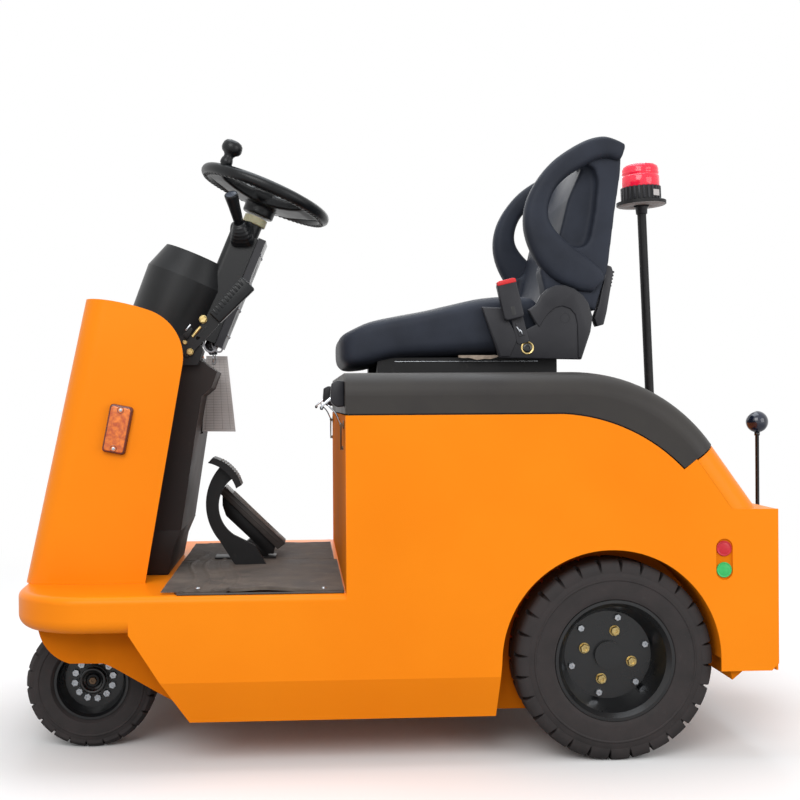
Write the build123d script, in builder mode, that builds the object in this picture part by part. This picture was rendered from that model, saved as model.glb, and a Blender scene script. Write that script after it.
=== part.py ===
# Airport baggage tug: a small electric tow tractor with a seat on a hinged battery cover.
# Millimetres. The tug faces -X, +Z is up, the ground is z = 0, and its left side is at -Y.

import os
from math import atan, cos, degrees, hypot, radians, sin, tan

from build123d import *

os.makedirs("parts", exist_ok=True)

# Body
body_half_width = 450
sheet = 4
nose_x = -846
nose_crown = 22
nose_corner_radius = 150
floor_top = 340
floor_edge_radius = 14
nose_bottom = 267
nose_bottom_end = -600
skirt_bottom = 91
skirt_front = -487
skirt_crease = 174
skirt_tuck = 28
nose_lip_radius = 26
battery_wall_x = -183
tail_x = 668
tail_top = 494
tail_bottom = 176
tail_corner_radius = 14
arch_x = 335.5
arch_gap = 20
liner_gap = 2
liner = 3
seam_gap = 3
skin_gap = 0.3

# Battery cover and the slope behind it
lid_top = 766
lid_depth = 80
lid_wall = 6
lid_bend_radius = 45
lid_arc_start = 268
lid_arc_radius = 342
slope_angle = 54.6
slope_bend_radius = 50

# Wheels
rear_axle_x = 346
rear_radius = 197
rear_width = 100
rear_wheel_y = 385
front_axle_x = -704
front_radius = 132.5
front_width = 85
front_wheel_y = 220
kingpin_y = 140
arm_length = 90
running_clearance = 0.4

# Rear wheel arch, round the tyre
arch_z = rear_radius + 3
arch_radius = rear_radius + arch_gap
arch_outside = arch_radius + liner_gap + liner
arch_front_foot = arch_x - arch_radius - 8.5

# Steering column: the wheel's centre, its tilt and the sizes across the column
column_tilt = 22.6
steering_x = -346.5
steering_z = 1186.5
steering_radius = 157.5
grip_radius = 13.5
column_width = 104
column_front = -40
column_back = 26
back_plate = 18
column_low = -361
column_high = -106
pod_centre = -91
pod_radius = 95
pod_top_radius = 74
pod_shoulder = -250
pod_top = -192
pod_foot = -400

# Front shield and console
shield_half_width = 278
shield_bend_radius = 55
shield_lean = 126
shield_top = 926
console_half_width = 170

# Seat
seat_half_width = 235
rail_z = 774

# Beacon, hitch
beacon_x = 653
beacon_y = body_half_width - 145
beacon_lean = 2.2
hitch_x = 808
jaw_end = 846


def side(y):
    return Plane.XZ.offset(-y)


def polar(x, z, radius, angle):
    return (x + radius * cos(radians(angle)), z + radius * sin(radians(angle)))


slope_dir = (cos(radians(slope_angle)), -sin(radians(slope_angle)))
slope_in = (-sin(radians(slope_angle)), -cos(radians(slope_angle)))
lid_arc_z = lid_top - lid_arc_radius
crest = polar(lid_arc_start, lid_arc_z, lid_arc_radius, 90 - slope_angle)
seam_low = (crest[0] + slope_in[0] * lid_depth, crest[1] + slope_in[1] * lid_depth)
seam_mid = polar(lid_arc_start, lid_arc_z, lid_arc_radius - lid_depth + 1, 90 - slope_angle / 2)
bend_start = (
    crest[0] + slope_in[0] * (slope_bend_radius + skin_gap),
    crest[1] + slope_in[1] * (slope_bend_radius + skin_gap),
)
bend_foot_x = bend_start[0] + (bend_start[1] - tail_top) * slope_dir[0] / -slope_dir[1]
seam_z = lid_top - lid_depth

column = Plane(
    origin=(steering_x, 0, steering_z),
    x_dir=(cos(radians(column_tilt)), 0, -sin(radians(column_tilt))),
    z_dir=(sin(radians(column_tilt)), 0, cos(radians(column_tilt))),
)


def wheel_plane(x, y, z):
    return Plane(origin=(x, y, z), x_dir=(1, 0, 0), z_dir=(0, 0, 1 if y > 0 else -1))


def cross_axis(x, z):
    return Axis((x, 0, z), (0, 1, 0))


# Below its crease the skirt leans inward; tuck_half is the half width just inside it
tuck_slope = skirt_tuck / (skirt_crease - skirt_bottom)
tuck_angle = degrees(atan(tuck_slope))
tuck_length = hypot(skirt_tuck, skirt_crease - skirt_bottom)


def tuck_half(z):
    return body_half_width - (skirt_crease - z) * tuck_slope - sheet / cos(radians(tuck_angle)) - skin_gap


# Front chassis: one pressed hull with the nose, the floor and the skirts, open below
with BuildPart() as front_chassis:
    with BuildSketch(Plane.XY.offset(skirt_bottom)) as nose_plan:
        with BuildLine():
            Polyline(
                (nose_x + nose_crown, -body_half_width),
                (battery_wall_x, -body_half_width),
                (battery_wall_x, body_half_width),
                (nose_x + nose_crown, body_half_width),
            )
            ThreePointArc(
                (nose_x + nose_crown, body_half_width),
                (nose_x, 0),
                (nose_x + nose_crown, -body_half_width),
            )
        make_face()
        fillet(nose_plan.vertices().group_by(Axis.X)[0], radius=nose_corner_radius)
    extrude(amount=floor_top - skirt_bottom)
    with BuildSketch(Plane.XZ):
        with BuildLine():
            Polyline(
                (nose_x - sheet, 0),
                (nose_x - sheet, nose_bottom),
                (nose_bottom_end, nose_bottom),
                (skirt_front, skirt_bottom),
                (skirt_front, 0),
                close=True,
            )
        make_face()
    extrude(amount=body_half_width + sheet, both=True, mode=Mode.SUBTRACT)
    for sign in (-1, 1):
        with BuildSketch(Plane.YZ.offset(nose_bottom_end)):
            Polygon(
                (sign * body_half_width, skirt_crease),
                (sign * (body_half_width - skirt_tuck), skirt_bottom),
                (sign * (body_half_width - skirt_tuck), skirt_bottom - skirt_tuck),
                (sign * (body_half_width + skirt_tuck), skirt_bottom - skirt_tuck),
                (sign * (body_half_width + skirt_tuck), skirt_crease),
                align=None,
            )
        extrude(amount=battery_wall_x - nose_bottom_end, mode=Mode.SUBTRACT)
    top_rim = front_chassis.faces().sort_by(Axis.Z)[-1].edges()
    fillet(top_rim.filter_by(lambda e: e.center().X < battery_wall_x - 1), radius=floor_edge_radius)
    offset(
        amount=-sheet,
        openings=front_chassis.faces().filter_by(
            lambda f: f.geom_type == GeomType.PLANE and (f.normal_at().Z < -0.5 or f.normal_at().X > 0.9)
        ),
    )
    # The nose's lower rim rolls inward
    with BuildSketch(Plane.XY.offset(nose_bottom)):
        with Locations((nose_bottom_end, 0)):
            Rectangle(
                nose_bottom_end - nose_x + sheet, 2 * (body_half_width + sheet), align=(Align.MAX, Align.CENTER)
            )
    extrude(amount=nose_lip_radius, mode=Mode.SUBTRACT)
    rim = nose_plan.edges().filter_by(lambda e: e.center().X < battery_wall_x - 1)
    with BuildLine(mode=Mode.PRIVATE) as rim_line:
        add([e.moved(Location((0, 0, nose_bottom + nose_lip_radius - skirt_bottom))) for e in rim])
        split(bisect_by=Plane.YZ.offset(nose_bottom_end), keep=Keep.BOTTOM)
    with BuildSketch(Plane.YZ.offset(nose_bottom_end)):
        with Locations((body_half_width - nose_lip_radius, nose_bottom + nose_lip_radius)):
            Circle(nose_lip_radius)
            Circle(nose_lip_radius - sheet, mode=Mode.SUBTRACT)
            Rectangle(2 * nose_lip_radius, nose_lip_radius, align=(Align.CENTER, Align.MIN), mode=Mode.SUBTRACT)
            Rectangle(nose_lip_radius, 2 * nose_lip_radius, align=(Align.MAX, Align.CENTER), mode=Mode.SUBTRACT)
    sweep(path=rim_line.wires()[0])
front_chassis.part.label = "front_chassis"
export_step(front_chassis.part, "parts/front_chassis.step")

# Side panels: battery box side, wheel arch and tail side in one sheet
indicator = (arch_x + arch_radius + 7, arch_z + 196)
indicator_width = 33
indicator_height = 81
indicator_pitch = 43
for name, sign, y in (("left", -1, -body_half_width + sheet), ("right", 1, body_half_width)):
    with BuildPart() as side_panel:
        with BuildSketch(side(y)):
            with BuildLine():
                Polyline(
                    (battery_wall_x, skirt_crease),
                    (battery_wall_x, seam_z - seam_gap),
                    (lid_arc_start - 25, seam_z - seam_gap),
                )
                ThreePointArc(
                    (lid_arc_start - 25, seam_z - seam_gap),
                    (seam_mid[0] - 6, seam_mid[1] - 12),
                    (seam_low[0] - 1, seam_low[1] - seam_gap),
                )
                Polyline(
                    (seam_low[0] - 1, seam_low[1] - seam_gap),
                    bend_start,
                    (bend_foot_x, tail_top),
                    (tail_x, tail_top),
                    (tail_x, tail_bottom + tail_corner_radius),
                    (tail_x - tail_corner_radius, tail_bottom),
                    (arch_x + arch_radius, tail_bottom),
                    (arch_x + arch_radius, arch_z),
                )
                RadiusArc(
                    (arch_x + arch_radius, arch_z),
                    (arch_x - arch_radius, arch_z),
                    -arch_radius,
                )
                Polyline(
                    (arch_x - arch_radius, arch_z),
                    (arch_front_foot + 6, skirt_crease),
                    (battery_wall_x, skirt_crease),
                )
            make_face()
            if name == "left":
                with Locations(indicator):
                    SlotOverall(indicator_height, indicator_width, rotation=90, mode=Mode.SUBTRACT)
        extrude(amount=sheet)
        lean = Plane(
            origin=(0, sign * body_half_width, skirt_crease),
            x_dir=(1, 0, 0),
            z_dir=(0, sign * cos(radians(tuck_angle)), -sin(radians(tuck_angle))),
        )
        with BuildSketch(lean):
            Polygon(
                (battery_wall_x, 0),
                (arch_front_foot + 6, 0),
                (arch_front_foot, sign * tuck_length),
                (battery_wall_x, sign * tuck_length),
                align=None,
            )
        extrude(amount=-sheet)
    side_panel.part.label = f"side_panel_{name}"
    export_step(side_panel.part, f"parts/side_panel_{name}.step")

inner_half = body_half_width - sheet

# Sloping panel behind the battery cover, with its long edges rolled into the sides
slope_plane = Plane(
    origin=(crest[0], 0, crest[1]),
    x_dir=(0, 1, 0),
    z_dir=(slope_dir[0], 0, slope_dir[1]),
)
slope_reach = 230
hinge_spacing = 380
hinge_barrel = 6
hinge_notch = hinge_barrel + 1.5
hinge_pin = 2.5
hinge_leaf = 3
eye_length = 16
fixed_length = 30
eye_gap = 0.5
barrel_length = fixed_length + 2 * (eye_length + eye_gap)
hinge_axis = Plane(origin=(crest[0], 0, crest[1]), x_dir=(slope_dir[0], 0, slope_dir[1]), z_dir=(0, -1, 0))
slope_flat = body_half_width - slope_bend_radius
with BuildPart() as slope_panel:
    with BuildSketch(slope_plane.offset(seam_gap)):
        for half, depth, radius in (
            (body_half_width, 0, slope_bend_radius),
            (inner_half, sheet, slope_bend_radius - sheet),
        ):
            with BuildLine():
                Line((-slope_flat, -depth), (slope_flat, -depth))
                RadiusArc((slope_flat, -depth), (half, -slope_bend_radius), radius)
                Line((half, -slope_bend_radius), (-half, -slope_bend_radius))
                RadiusArc((-half, -slope_bend_radius), (-slope_flat, -depth), radius)
            make_face(mode=Mode.ADD if depth == 0 else Mode.SUBTRACT)
    extrude(amount=slope_reach)
    split(bisect_by=Plane.XY.offset(tail_top), keep=Keep.TOP)
    for y in (-hinge_spacing / 2, hinge_spacing / 2):
        with BuildSketch(hinge_axis.offset(-y - barrel_length / 2 - 2)):
            Circle(hinge_notch)
        extrude(amount=barrel_length + 4, mode=Mode.SUBTRACT)
slope_panel.part.label = "slope_panel"
export_step(slope_panel.part, "parts/slope_panel.step")

# Tail: a bent sheet over the ballast, top and back in one
with BuildPart() as tail_panel:
    with BuildSketch(side(inner_half)):
        with BuildLine():
            Polyline(
                (bend_foot_x, tail_top),
                (tail_x, tail_top),
                (tail_x, tail_bottom),
                (tail_x - sheet, tail_bottom),
                (tail_x - sheet, tail_top - sheet),
                (bend_foot_x, tail_top - sheet),
                close=True,
            )
        make_face()
    extrude(amount=2 * inner_half)
    fillet(tail_panel.edges().filter_by(Axis.Y).sort_by(lambda e: e.center().X + e.center().Z)[-1], 3)
tail_panel.part.label = "tail_panel"
export_step(tail_panel.part, "parts/tail_panel.step")

# Rear ballast block, which carries the drawbar pull
ballast_front = arch_x + arch_outside + 12.5
ballast_side_gap = 6
with BuildPart() as rear_ballast:
    with BuildSketch(side(inner_half - ballast_side_gap)):
        with BuildLine():
            Polyline(
                (ballast_front + 8, tail_bottom - 38),
                (ballast_front, tail_bottom - 24),
                (ballast_front, tail_top - sheet - 30),
                (ballast_front + 30, tail_top - sheet - skin_gap),
                (tail_x - sheet, tail_top - sheet - skin_gap),
                (tail_x - sheet, tail_bottom + 6),
                (tail_x - 34, tail_bottom - 38),
                close=True,
            )
        make_face()
    extrude(amount=2 * (inner_half - ballast_side_gap))
rear_ballast.part.label = "rear_ballast"
export_step(rear_ballast.part, "parts/rear_ballast.step")

# Battery box: tray, front and rear bulkheads, and the wall behind the driver's heels
tray_thickness = 5
tray_z = skirt_bottom + 6
rear_bulkhead_x = arch_x - arch_outside - 9.5
bulkhead_x = -492
with BuildPart() as battery_tray:
    with BuildSketch(side(inner_half)):
        with BuildLine():
            Polyline(
                (bulkhead_x, floor_top - sheet - skin_gap),
                (bulkhead_x, tray_z),
                (rear_bulkhead_x, tray_z),
                (rear_bulkhead_x, 400),
                (rear_bulkhead_x - tray_thickness, 400),
                (rear_bulkhead_x - tray_thickness, tray_z + tray_thickness),
                (bulkhead_x + tray_thickness, tray_z + tray_thickness),
                (bulkhead_x + tray_thickness, floor_top - sheet - skin_gap),
                close=True,
            )
        make_face()
    extrude(amount=2 * inner_half)
    with BuildSketch(Plane.YZ.offset(battery_wall_x)):
        with Locations((0, (tray_z + seam_z - seam_gap) / 2)):
            Rectangle(2 * inner_half, seam_z - seam_gap - tray_z)
    extrude(amount=sheet)
    chamfer(battery_tray.edges().filter_by(Axis.X).filter_by(
        lambda e: e.center().X < bulkhead_x + tray_thickness and e.center().Z > floor_top - 10
    ), floor_edge_radius)
    tuck_top = skirt_crease + (sheet / cos(radians(tuck_angle)) + skin_gap - sheet) / tuck_slope
    for sign in (-1, 1):
        with BuildSketch(Plane.YZ.offset(bulkhead_x)):
            Polygon(
                (sign * inner_half, tuck_top),
                (sign * tuck_half(skirt_bottom), skirt_bottom),
                (sign * (inner_half + skirt_tuck), skirt_bottom),
                (sign * (inner_half + skirt_tuck), tuck_top),
                align=None,
            )
        extrude(amount=rear_bulkhead_x - bulkhead_x, mode=Mode.SUBTRACT)
battery_tray.part.label = "battery_tray"
export_step(battery_tray.part, "parts/battery_tray.step")

# Battery: one closed block standing in the tray
battery_side_gap = 60
battery_rear_gap = 9
battery_half_width = body_half_width - battery_side_gap
battery_length = rear_bulkhead_x - battery_rear_gap - (battery_wall_x + 16)
battery_height = 470
battery_x = rear_bulkhead_x - battery_rear_gap - battery_length / 2
with BuildPart() as battery:
    with BuildSketch(Plane.XY.offset(tray_z + tray_thickness + skin_gap)):
        with Locations((battery_x, 0)):
            Rectangle(battery_length, 2 * battery_half_width)
    extrude(amount=battery_height)
    chamfer(battery.edges().filter_by(Axis.Z), 6)
battery.part.label = "battery"
export_step(battery.part, "parts/battery.step")

# Chassis rails from the rear bulkhead to the ballast, with the saddles that clamp the axle tube
rail_y = 215
rail_half_width = 25
rail_bottom = 300
rail_height = 60
axle_tube_radius = 35
saddle_half_length = 55
with BuildPart() as chassis_rails:
    with BuildSketch(Plane.YZ.offset(rear_bulkhead_x)):
        with Locations(
            (-rail_y, rail_bottom + rail_height / 2),
            (rail_y, rail_bottom + rail_height / 2),
        ):
            Rectangle(2 * rail_half_width, rail_height)
    extrude(amount=ballast_front - rear_bulkhead_x)
    for y in (-rail_y, rail_y):
        with BuildSketch(side(y + rail_half_width)):
            with BuildLine():
                Polyline(
                    (rear_axle_x - saddle_half_length, rail_bottom),
                    (rear_axle_x - saddle_half_length + 9, rear_radius),
                    (rear_axle_x + saddle_half_length - 9, rear_radius),
                    (rear_axle_x + saddle_half_length, rail_bottom),
                    close=True,
                )
            make_face()
            with Locations((rear_axle_x, rear_radius)):
                Circle(axle_tube_radius + skin_gap, mode=Mode.SUBTRACT)
        extrude(amount=2 * rail_half_width)
chassis_rails.part.label = "chassis_rails"
export_step(chassis_rails.part, "parts/chassis_rails.step")

# Rear wheel wells: inner wall and the arched liner behind each opening
well_y = rear_wheel_y - rear_width / 2 - 10
axle_slot = 62
well_foot = 132
with BuildPart() as rear_wheel_wells:
    for sign in (-1, 1):
        with BuildSketch(side(sign * inner_half)):
            with Locations((arch_x, arch_z)):
                Circle(arch_outside)
                Circle(arch_radius + liner_gap, mode=Mode.SUBTRACT)
            with Locations((arch_x, arch_z - arch_radius)):
                Rectangle(3 * arch_radius, 2 * arch_radius, mode=Mode.SUBTRACT)
        extrude(amount=sign * (inner_half - well_y))
        with BuildSketch(side(sign * well_y)):
            with Locations((arch_x, arch_z)):
                Circle(arch_outside)
            with Locations((arch_x, well_foot - arch_radius)):
                Rectangle(3 * arch_radius, 2 * arch_radius, mode=Mode.SUBTRACT)
            with BuildLine():
                Polyline(
                    (arch_front_foot + 4, arch_z),
                    (arch_front_foot + 4, skirt_bottom - 11),
                    (arch_front_foot + 80, skirt_bottom - 11),
                    (arch_front_foot + 130, well_foot),
                    (arch_front_foot + 130, arch_z),
                    close=True,
                )
            make_face()
            with Locations((rear_axle_x, rear_radius)):
                Circle(axle_slot, mode=Mode.SUBTRACT)
            with Locations((rear_axle_x, rear_radius - 60)):
                Rectangle(2 * axle_slot, 120, mode=Mode.SUBTRACT)
        extrude(amount=sign * -liner)
rear_wheel_wells.part.label = "rear_wheel_wells"
export_step(rear_wheel_wells.part, "parts/rear_wheel_wells.step")

# Drive axle: tubes, differential housing and the upright traction motor
axle_flange_y = 312
axle_flange_radius = 58
stub_radius = 17.5
stub_end = rear_wheel_y - 5
differential_y = 60
differential_radius = 88
differential_half_width = 62
motor_radius = 82
motor_top = 452
with BuildPart() as drive_axle:
    with BuildSketch(side(axle_flange_y)):
        with Locations((rear_axle_x, rear_radius)):
            Circle(axle_tube_radius)
    extrude(amount=2 * axle_flange_y)
    for y in (axle_flange_y, -axle_flange_y + 12):
        with BuildSketch(side(y)):
            with Locations((rear_axle_x, rear_radius)):
                Circle(axle_flange_radius)
        extrude(amount=12)
    with BuildSketch(side(stub_end)):
        with Locations((rear_axle_x, rear_radius)):
            Circle(stub_radius)
    extrude(amount=2 * stub_end)
    with BuildSketch(side(differential_y + differential_half_width)) as housing:
        with Locations((rear_axle_x, rear_radius)):
            Circle(differential_radius)
    extrude(amount=2 * differential_half_width)
    fillet(
        drive_axle.edges().filter_by(GeomType.CIRCLE).filter_by(
            lambda e: abs(e.radius - differential_radius) < 0.1
        ),
        24,
    )
    with BuildSketch(Plane.XY.offset(rear_radius)):
        with Locations((rear_axle_x, differential_y)):
            Circle(motor_radius)
    extrude(amount=motor_top - rear_radius)
drive_axle.part.label = "drive_axle"
export_step(drive_axle.part, "parts/drive_axle.step")

# Battery cover: a deep tray upside down, curved down to the slope
with BuildPart() as lid:
    with BuildSketch(side(body_half_width)):
        with BuildLine():
            Line((battery_wall_x, seam_z), (battery_wall_x, lid_top))
            Line((battery_wall_x, lid_top), (lid_arc_start, lid_top))
            ThreePointArc(
                (lid_arc_start, lid_top),
                polar(lid_arc_start, lid_arc_z, lid_arc_radius, 90 - slope_angle / 2),
                crest,
            )
            Line(crest, seam_low)
            ThreePointArc(
                seam_low, (seam_mid[0] - 6, seam_mid[1] - 12 + seam_gap), (lid_arc_start - 25, seam_z)
            )
            Line((lid_arc_start - 25, seam_z), (battery_wall_x, seam_z))
        make_face()
    extrude(amount=2 * body_half_width)
    crown_faces = lid.faces().filter_by(lambda f: f.normal_at().Z > 0.5)
    crown_edges = crown_faces.edges().filter_by(
        lambda e: abs(abs(e.center().Y) - body_half_width) < 1 and e.length > lid_depth
    )
    fillet(crown_edges, lid_bend_radius)
    offset(
        amount=-lid_wall,
        openings=lid.faces().filter_by(lambda f: f.normal_at().Z < -0.7 and abs(f.normal_at().Y) < 0.1),
    )
    for y in (-hinge_spacing / 2, hinge_spacing / 2):
        with BuildSketch(hinge_axis.offset(-y - barrel_length / 2 - 2)):
            Circle(hinge_notch)
        extrude(amount=barrel_length + 4, mode=Mode.SUBTRACT)
lid.part.label = "lid"
export_step(lid.part, "parts/lid.step")

# Inner walls of the front wheel housing, hanging below the nose
housing_y = body_half_width - 98
roof_z = floor_top - sheet - skin_gap
with BuildPart() as housing_walls:
    for sign in (-1, 1):
        with BuildSketch(side(sign * housing_y)):
            with BuildLine():
                Polyline((-790, 270), (-790, roof_z), (bulkhead_x, roof_z))
                Polyline((bulkhead_x, roof_z), (bulkhead_x, 99), (-545, 128), (-640, 184), (-662, 194))
                Line((-662, 194), (-728, 195))
                ThreePointArc((-728, 195), (-762, 214), (-790, 270))
            make_face()
        extrude(amount=sign * -sheet)
housing_walls.part.label = "housing_walls"
export_step(housing_walls.part, "parts/housing_walls.step")

# Front axle: beam with forked ends, hung under the floor by its bracket
sleeve_radius = 18
sleeve_low = 101
sleeve_high = 164
fork_gap = 3
ear = 14
ear_reach = 19
kingpin_radius = 9
beam_half_length = 18
web_y = 84
web = 20
beam_low = sleeve_low - 3
beam_high = sleeve_high + 3
pedestal_half_width = 60
pedestal_foot = 26
bracket_lip = 12
with BuildPart() as front_axle:
    with BuildSketch(Plane.YZ.offset(front_axle_x - beam_half_length)):
        with BuildLine():
            Polyline(
                (kingpin_y + ear_reach, beam_low - ear),
                (kingpin_y + ear_reach, sleeve_low - fork_gap),
                (web_y + web, sleeve_low - fork_gap),
                (web_y + web, sleeve_high + fork_gap),
                (kingpin_y + ear_reach, sleeve_high + fork_gap),
                (kingpin_y + ear_reach, beam_high + ear),
                (web_y, beam_high + ear),
                (web_y, beam_high),
                (0, beam_high),
                (0, beam_low),
                (web_y, beam_low),
                (web_y, beam_low - ear),
                close=True,
            )
        make_face()
        mirror(about=Plane.YZ)
    extrude(amount=2 * beam_half_length)
    fillet(
        front_axle.edges().filter_by(Axis.Z).filter_by(lambda e: abs(e.center().Y) > kingpin_y),
        beam_half_length - 2,
    )
    with BuildSketch(Plane.XY):
        with Locations((front_axle_x, -kingpin_y), (front_axle_x, kingpin_y)):
            Circle(kingpin_radius + running_clearance)
    extrude(amount=beam_high + 2 * ear, mode=Mode.SUBTRACT)
    with BuildSketch(Plane.YZ.offset(front_axle_x - beam_half_length - bracket_lip)):
        with BuildLine():
            Polyline(
                (-pedestal_foot, beam_low + 8),
                (pedestal_foot, beam_low + 8),
                (pedestal_half_width, roof_z),
                (-pedestal_half_width, roof_z),
                close=True,
            )
        make_face()
    extrude(amount=2 * (beam_half_length + bracket_lip))
    with BuildSketch(Plane.XY.offset(roof_z)):
        with Locations((front_axle_x, 0)):
            Rectangle(130, 2 * pedestal_half_width + 40)
    extrude(amount=-10)
front_axle.part.label = "front_axle"
export_step(front_axle.part, "parts/front_axle.step")

# Steering knuckles: kingpin, sleeve, stub axle and steering arm
spindle_radius = 12.5
spindle_end = front_wheel_y + 17
arm_low = 106
arm_high = 117
rod_pin_radius = 5
for name, sign in (("left", -1), ("right", 1)):
    with BuildPart() as knuckle:
        with BuildSketch(Plane.XY.offset(sleeve_low)):
            with Locations((front_axle_x, sign * kingpin_y)):
                Circle(sleeve_radius)
        extrude(amount=sleeve_high - sleeve_low)
        with BuildSketch(Plane.XY.offset(beam_low - ear)):
            with Locations((front_axle_x, sign * kingpin_y)):
                Circle(kingpin_radius)
        extrude(amount=beam_high - beam_low + 2 * ear)
        with BuildSketch(side(sign * kingpin_y)):
            with Locations((front_axle_x, front_radius)):
                Circle(spindle_radius)
        extrude(amount=sign * (kingpin_y - spindle_end))
        with BuildSketch(side(sign * kingpin_y)):
            with Locations((front_axle_x, front_radius)):
                Circle(spindle_radius + 8)
        extrude(amount=sign * -42)
        with BuildSketch(Plane.XY.offset(arm_low)):
            with BuildLine():
                Polyline(
                    (front_axle_x, sign * kingpin_y - 9),
                    (front_axle_x + arm_length, sign * kingpin_y - 9),
                    (front_axle_x + arm_length, sign * kingpin_y + 9),
                    (front_axle_x, sign * kingpin_y + 9),
                    close=True,
                )
            make_face()
            with Locations((front_axle_x + arm_length, sign * kingpin_y)):
                Circle(13)
        extrude(amount=arm_high - arm_low)
        with BuildSketch(Plane.XY.offset(arm_low)):
            with Locations((front_axle_x + arm_length, sign * kingpin_y)):
                Circle(rod_pin_radius + running_clearance)
        extrude(amount=arm_high - arm_low, mode=Mode.SUBTRACT)
    knuckle.part.label = f"knuckle_{name}"
    export_step(knuckle.part, f"parts/knuckle_{name}.step")

# Tie rod between the steering arms
rod_low = arm_high + 1
rod_eye_height = 16
rod_radius = 6.5
with BuildPart() as tie_rod:
    with BuildSketch(side(kingpin_y)):
        with Locations((front_axle_x + arm_length, rod_low + rod_eye_height / 2)):
            Circle(rod_radius)
    extrude(amount=2 * kingpin_y)
    with BuildSketch(Plane.XY.offset(rod_low)):
        with Locations(
            (front_axle_x + arm_length, -kingpin_y), (front_axle_x + arm_length, kingpin_y)
        ):
            Circle(12)
    extrude(amount=rod_eye_height)
    with BuildSketch(Plane.XY.offset(arm_low - 4)):
        with Locations(
            (front_axle_x + arm_length, -kingpin_y), (front_axle_x + arm_length, kingpin_y)
        ):
            Circle(rod_pin_radius)
    extrude(amount=rod_low - arm_low + 4)
tie_rod.part.label = "tie_rod"
export_step(tie_rod.part, "parts/tie_rod.step")

# Steering gear under the floor, below the column
with BuildPart() as steering_gear:
    with BuildSketch(Plane.XY.offset(roof_z)):
        with Locations((-590, 0)):
            RectangleRounded(96, 110, 12)
    extrude(amount=-86)
    with BuildSketch(Plane.XY.offset(roof_z - 86)):
        with Locations((-590, 0)):
            Circle(30)
    extrude(amount=-24)
steering_gear.part.label = "steering_gear"
export_step(steering_gear.part, "parts/steering_gear.step")

# Wheels: solid tyres on dished rims; sections are (radius, distance outward) from the wheel's centre
rear_bore = stub_radius + running_clearance
rear_cap_end = -2
rear_cap_radius = 28
cap_gap = 0.4
rear_stub_reach = stub_end - rear_wheel_y
rear_rim_section = (
    (rear_bore, -72), (40, -72), (40, -45), (52, -45), (52, -16), (92, -16), (106, -42),
    (106, -48), (119, -48), (119, -45), (112, -41), (112, 41), (119, 45), (119, 48),
    (113, 48), (105, 38), (88, -10), (rear_cap_radius, -10), (rear_cap_radius, rear_cap_end), (0, rear_cap_end),
    (0, rear_stub_reach + cap_gap), (rear_bore, rear_stub_reach + cap_gap),
)
rear_tyre_section = (
    (112.3, -40.6), (119.3, -44.9), (124, -rear_width / 2), (rear_radius - 15, -rear_width / 2),
    (rear_radius, -38), (rear_radius, 38), (rear_radius - 15, rear_width / 2), (124, rear_width / 2),
    (119.3, 44.9), (112.3, 40.6),
)
front_bore = spindle_radius + running_clearance
front_rim_section = (
    (front_bore, -36), (26, -36), (26, -8), (60, -8), (66, -30), (66, -36), (76, -36), (76, -33),
    (71, -30), (71, 30), (76, 33), (76, 36), (71, 36), (66, 28), (60, -1), (30, -1), (30, 13),
    (front_bore, 13),
)
front_tyre_section = (
    (71.3, -29.6), (76.3, -32.9), (79, -front_width / 2), (121, -front_width / 2),
    (front_radius, -33), (front_radius, 33), (121, front_width / 2), (79, front_width / 2),
    (76.3, 32.9), (71.3, 29.6),
)
wheel_sets = (
    ("rear", rear_axle_x, rear_radius, rear_wheel_y, rear_rim_section, rear_tyre_section),
    ("front", front_axle_x, front_radius, front_wheel_y, front_rim_section, front_tyre_section),
)
for place, x, z, track, rim_section, tyre_section in wheel_sets:
    for name, sign in (("left", -1), ("right", 1)):
        with BuildPart() as rim:
            with BuildSketch(wheel_plane(x, sign * track, z)):
                with BuildLine():
                    Polyline(*rim_section, close=True)
                make_face()
            revolve(axis=cross_axis(x, z))
        rim.part.label = f"rim_{place}_{name}"
        export_step(rim.part, f"parts/rim_{place}_{name}.step")
        with BuildPart() as tyre:
            with BuildSketch(wheel_plane(x, sign * track, z)) as tread:
                with BuildLine():
                    Polyline(*tyre_section, close=True)
                make_face()
                fillet(tread.vertices().sort_by(Axis.X)[-4:], 9)
            revolve(axis=cross_axis(x, z))
        tyre.part.label = f"tyre_{place}_{name}"
        export_step(tyre.part, f"parts/tyre_{place}_{name}.step")

# Front shield: one sheet wrapped round the driver's shins, leaning back
wing_top_back = (-511, 790)
with BuildPart() as front_shield:
    for inset, mode in ((0, Mode.ADD), (sheet, Mode.SUBTRACT)):
        for z, lean in ((floor_top, 0), (shield_top + 10, shield_lean + 2)):
            back = -440 + 50 * inset
            with BuildSketch(Plane.XY.offset(z)) as ring:
                with BuildLine():
                    half = shield_half_width - inset
                    front = nose_x + lean + inset
                    corner = front + nose_crown * (half / body_half_width) ** 2
                    Polyline((corner, -half), (back, -half), (back, half), (corner, half))
                    ThreePointArc((corner, half), (front, 0), (corner, -half))
                make_face()
                fillet(ring.vertices().group_by(Axis.X)[0], radius=shield_bend_radius - inset)
        loft(mode=mode)
    with BuildSketch(side(shield_half_width + sheet)):
        with BuildLine():
            Line((nose_x - sheet, floor_top), (-590, floor_top))
            Line((-590, floor_top), wing_top_back)
            ThreePointArc(wing_top_back, (-524, 855), (-575, 899))
            ThreePointArc((-575, 899), (-644, 918), (-718, shield_top))
            Line((-718, shield_top), (nose_x - sheet, shield_top))
            Line((nose_x - sheet, shield_top), (nose_x - sheet, floor_top))
        make_face()
    extrude(amount=2 * (shield_half_width + sheet), mode=Mode.INTERSECT)
front_shield.part.label = "front_shield"
export_step(front_shield.part, "parts/front_shield.step")

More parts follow.
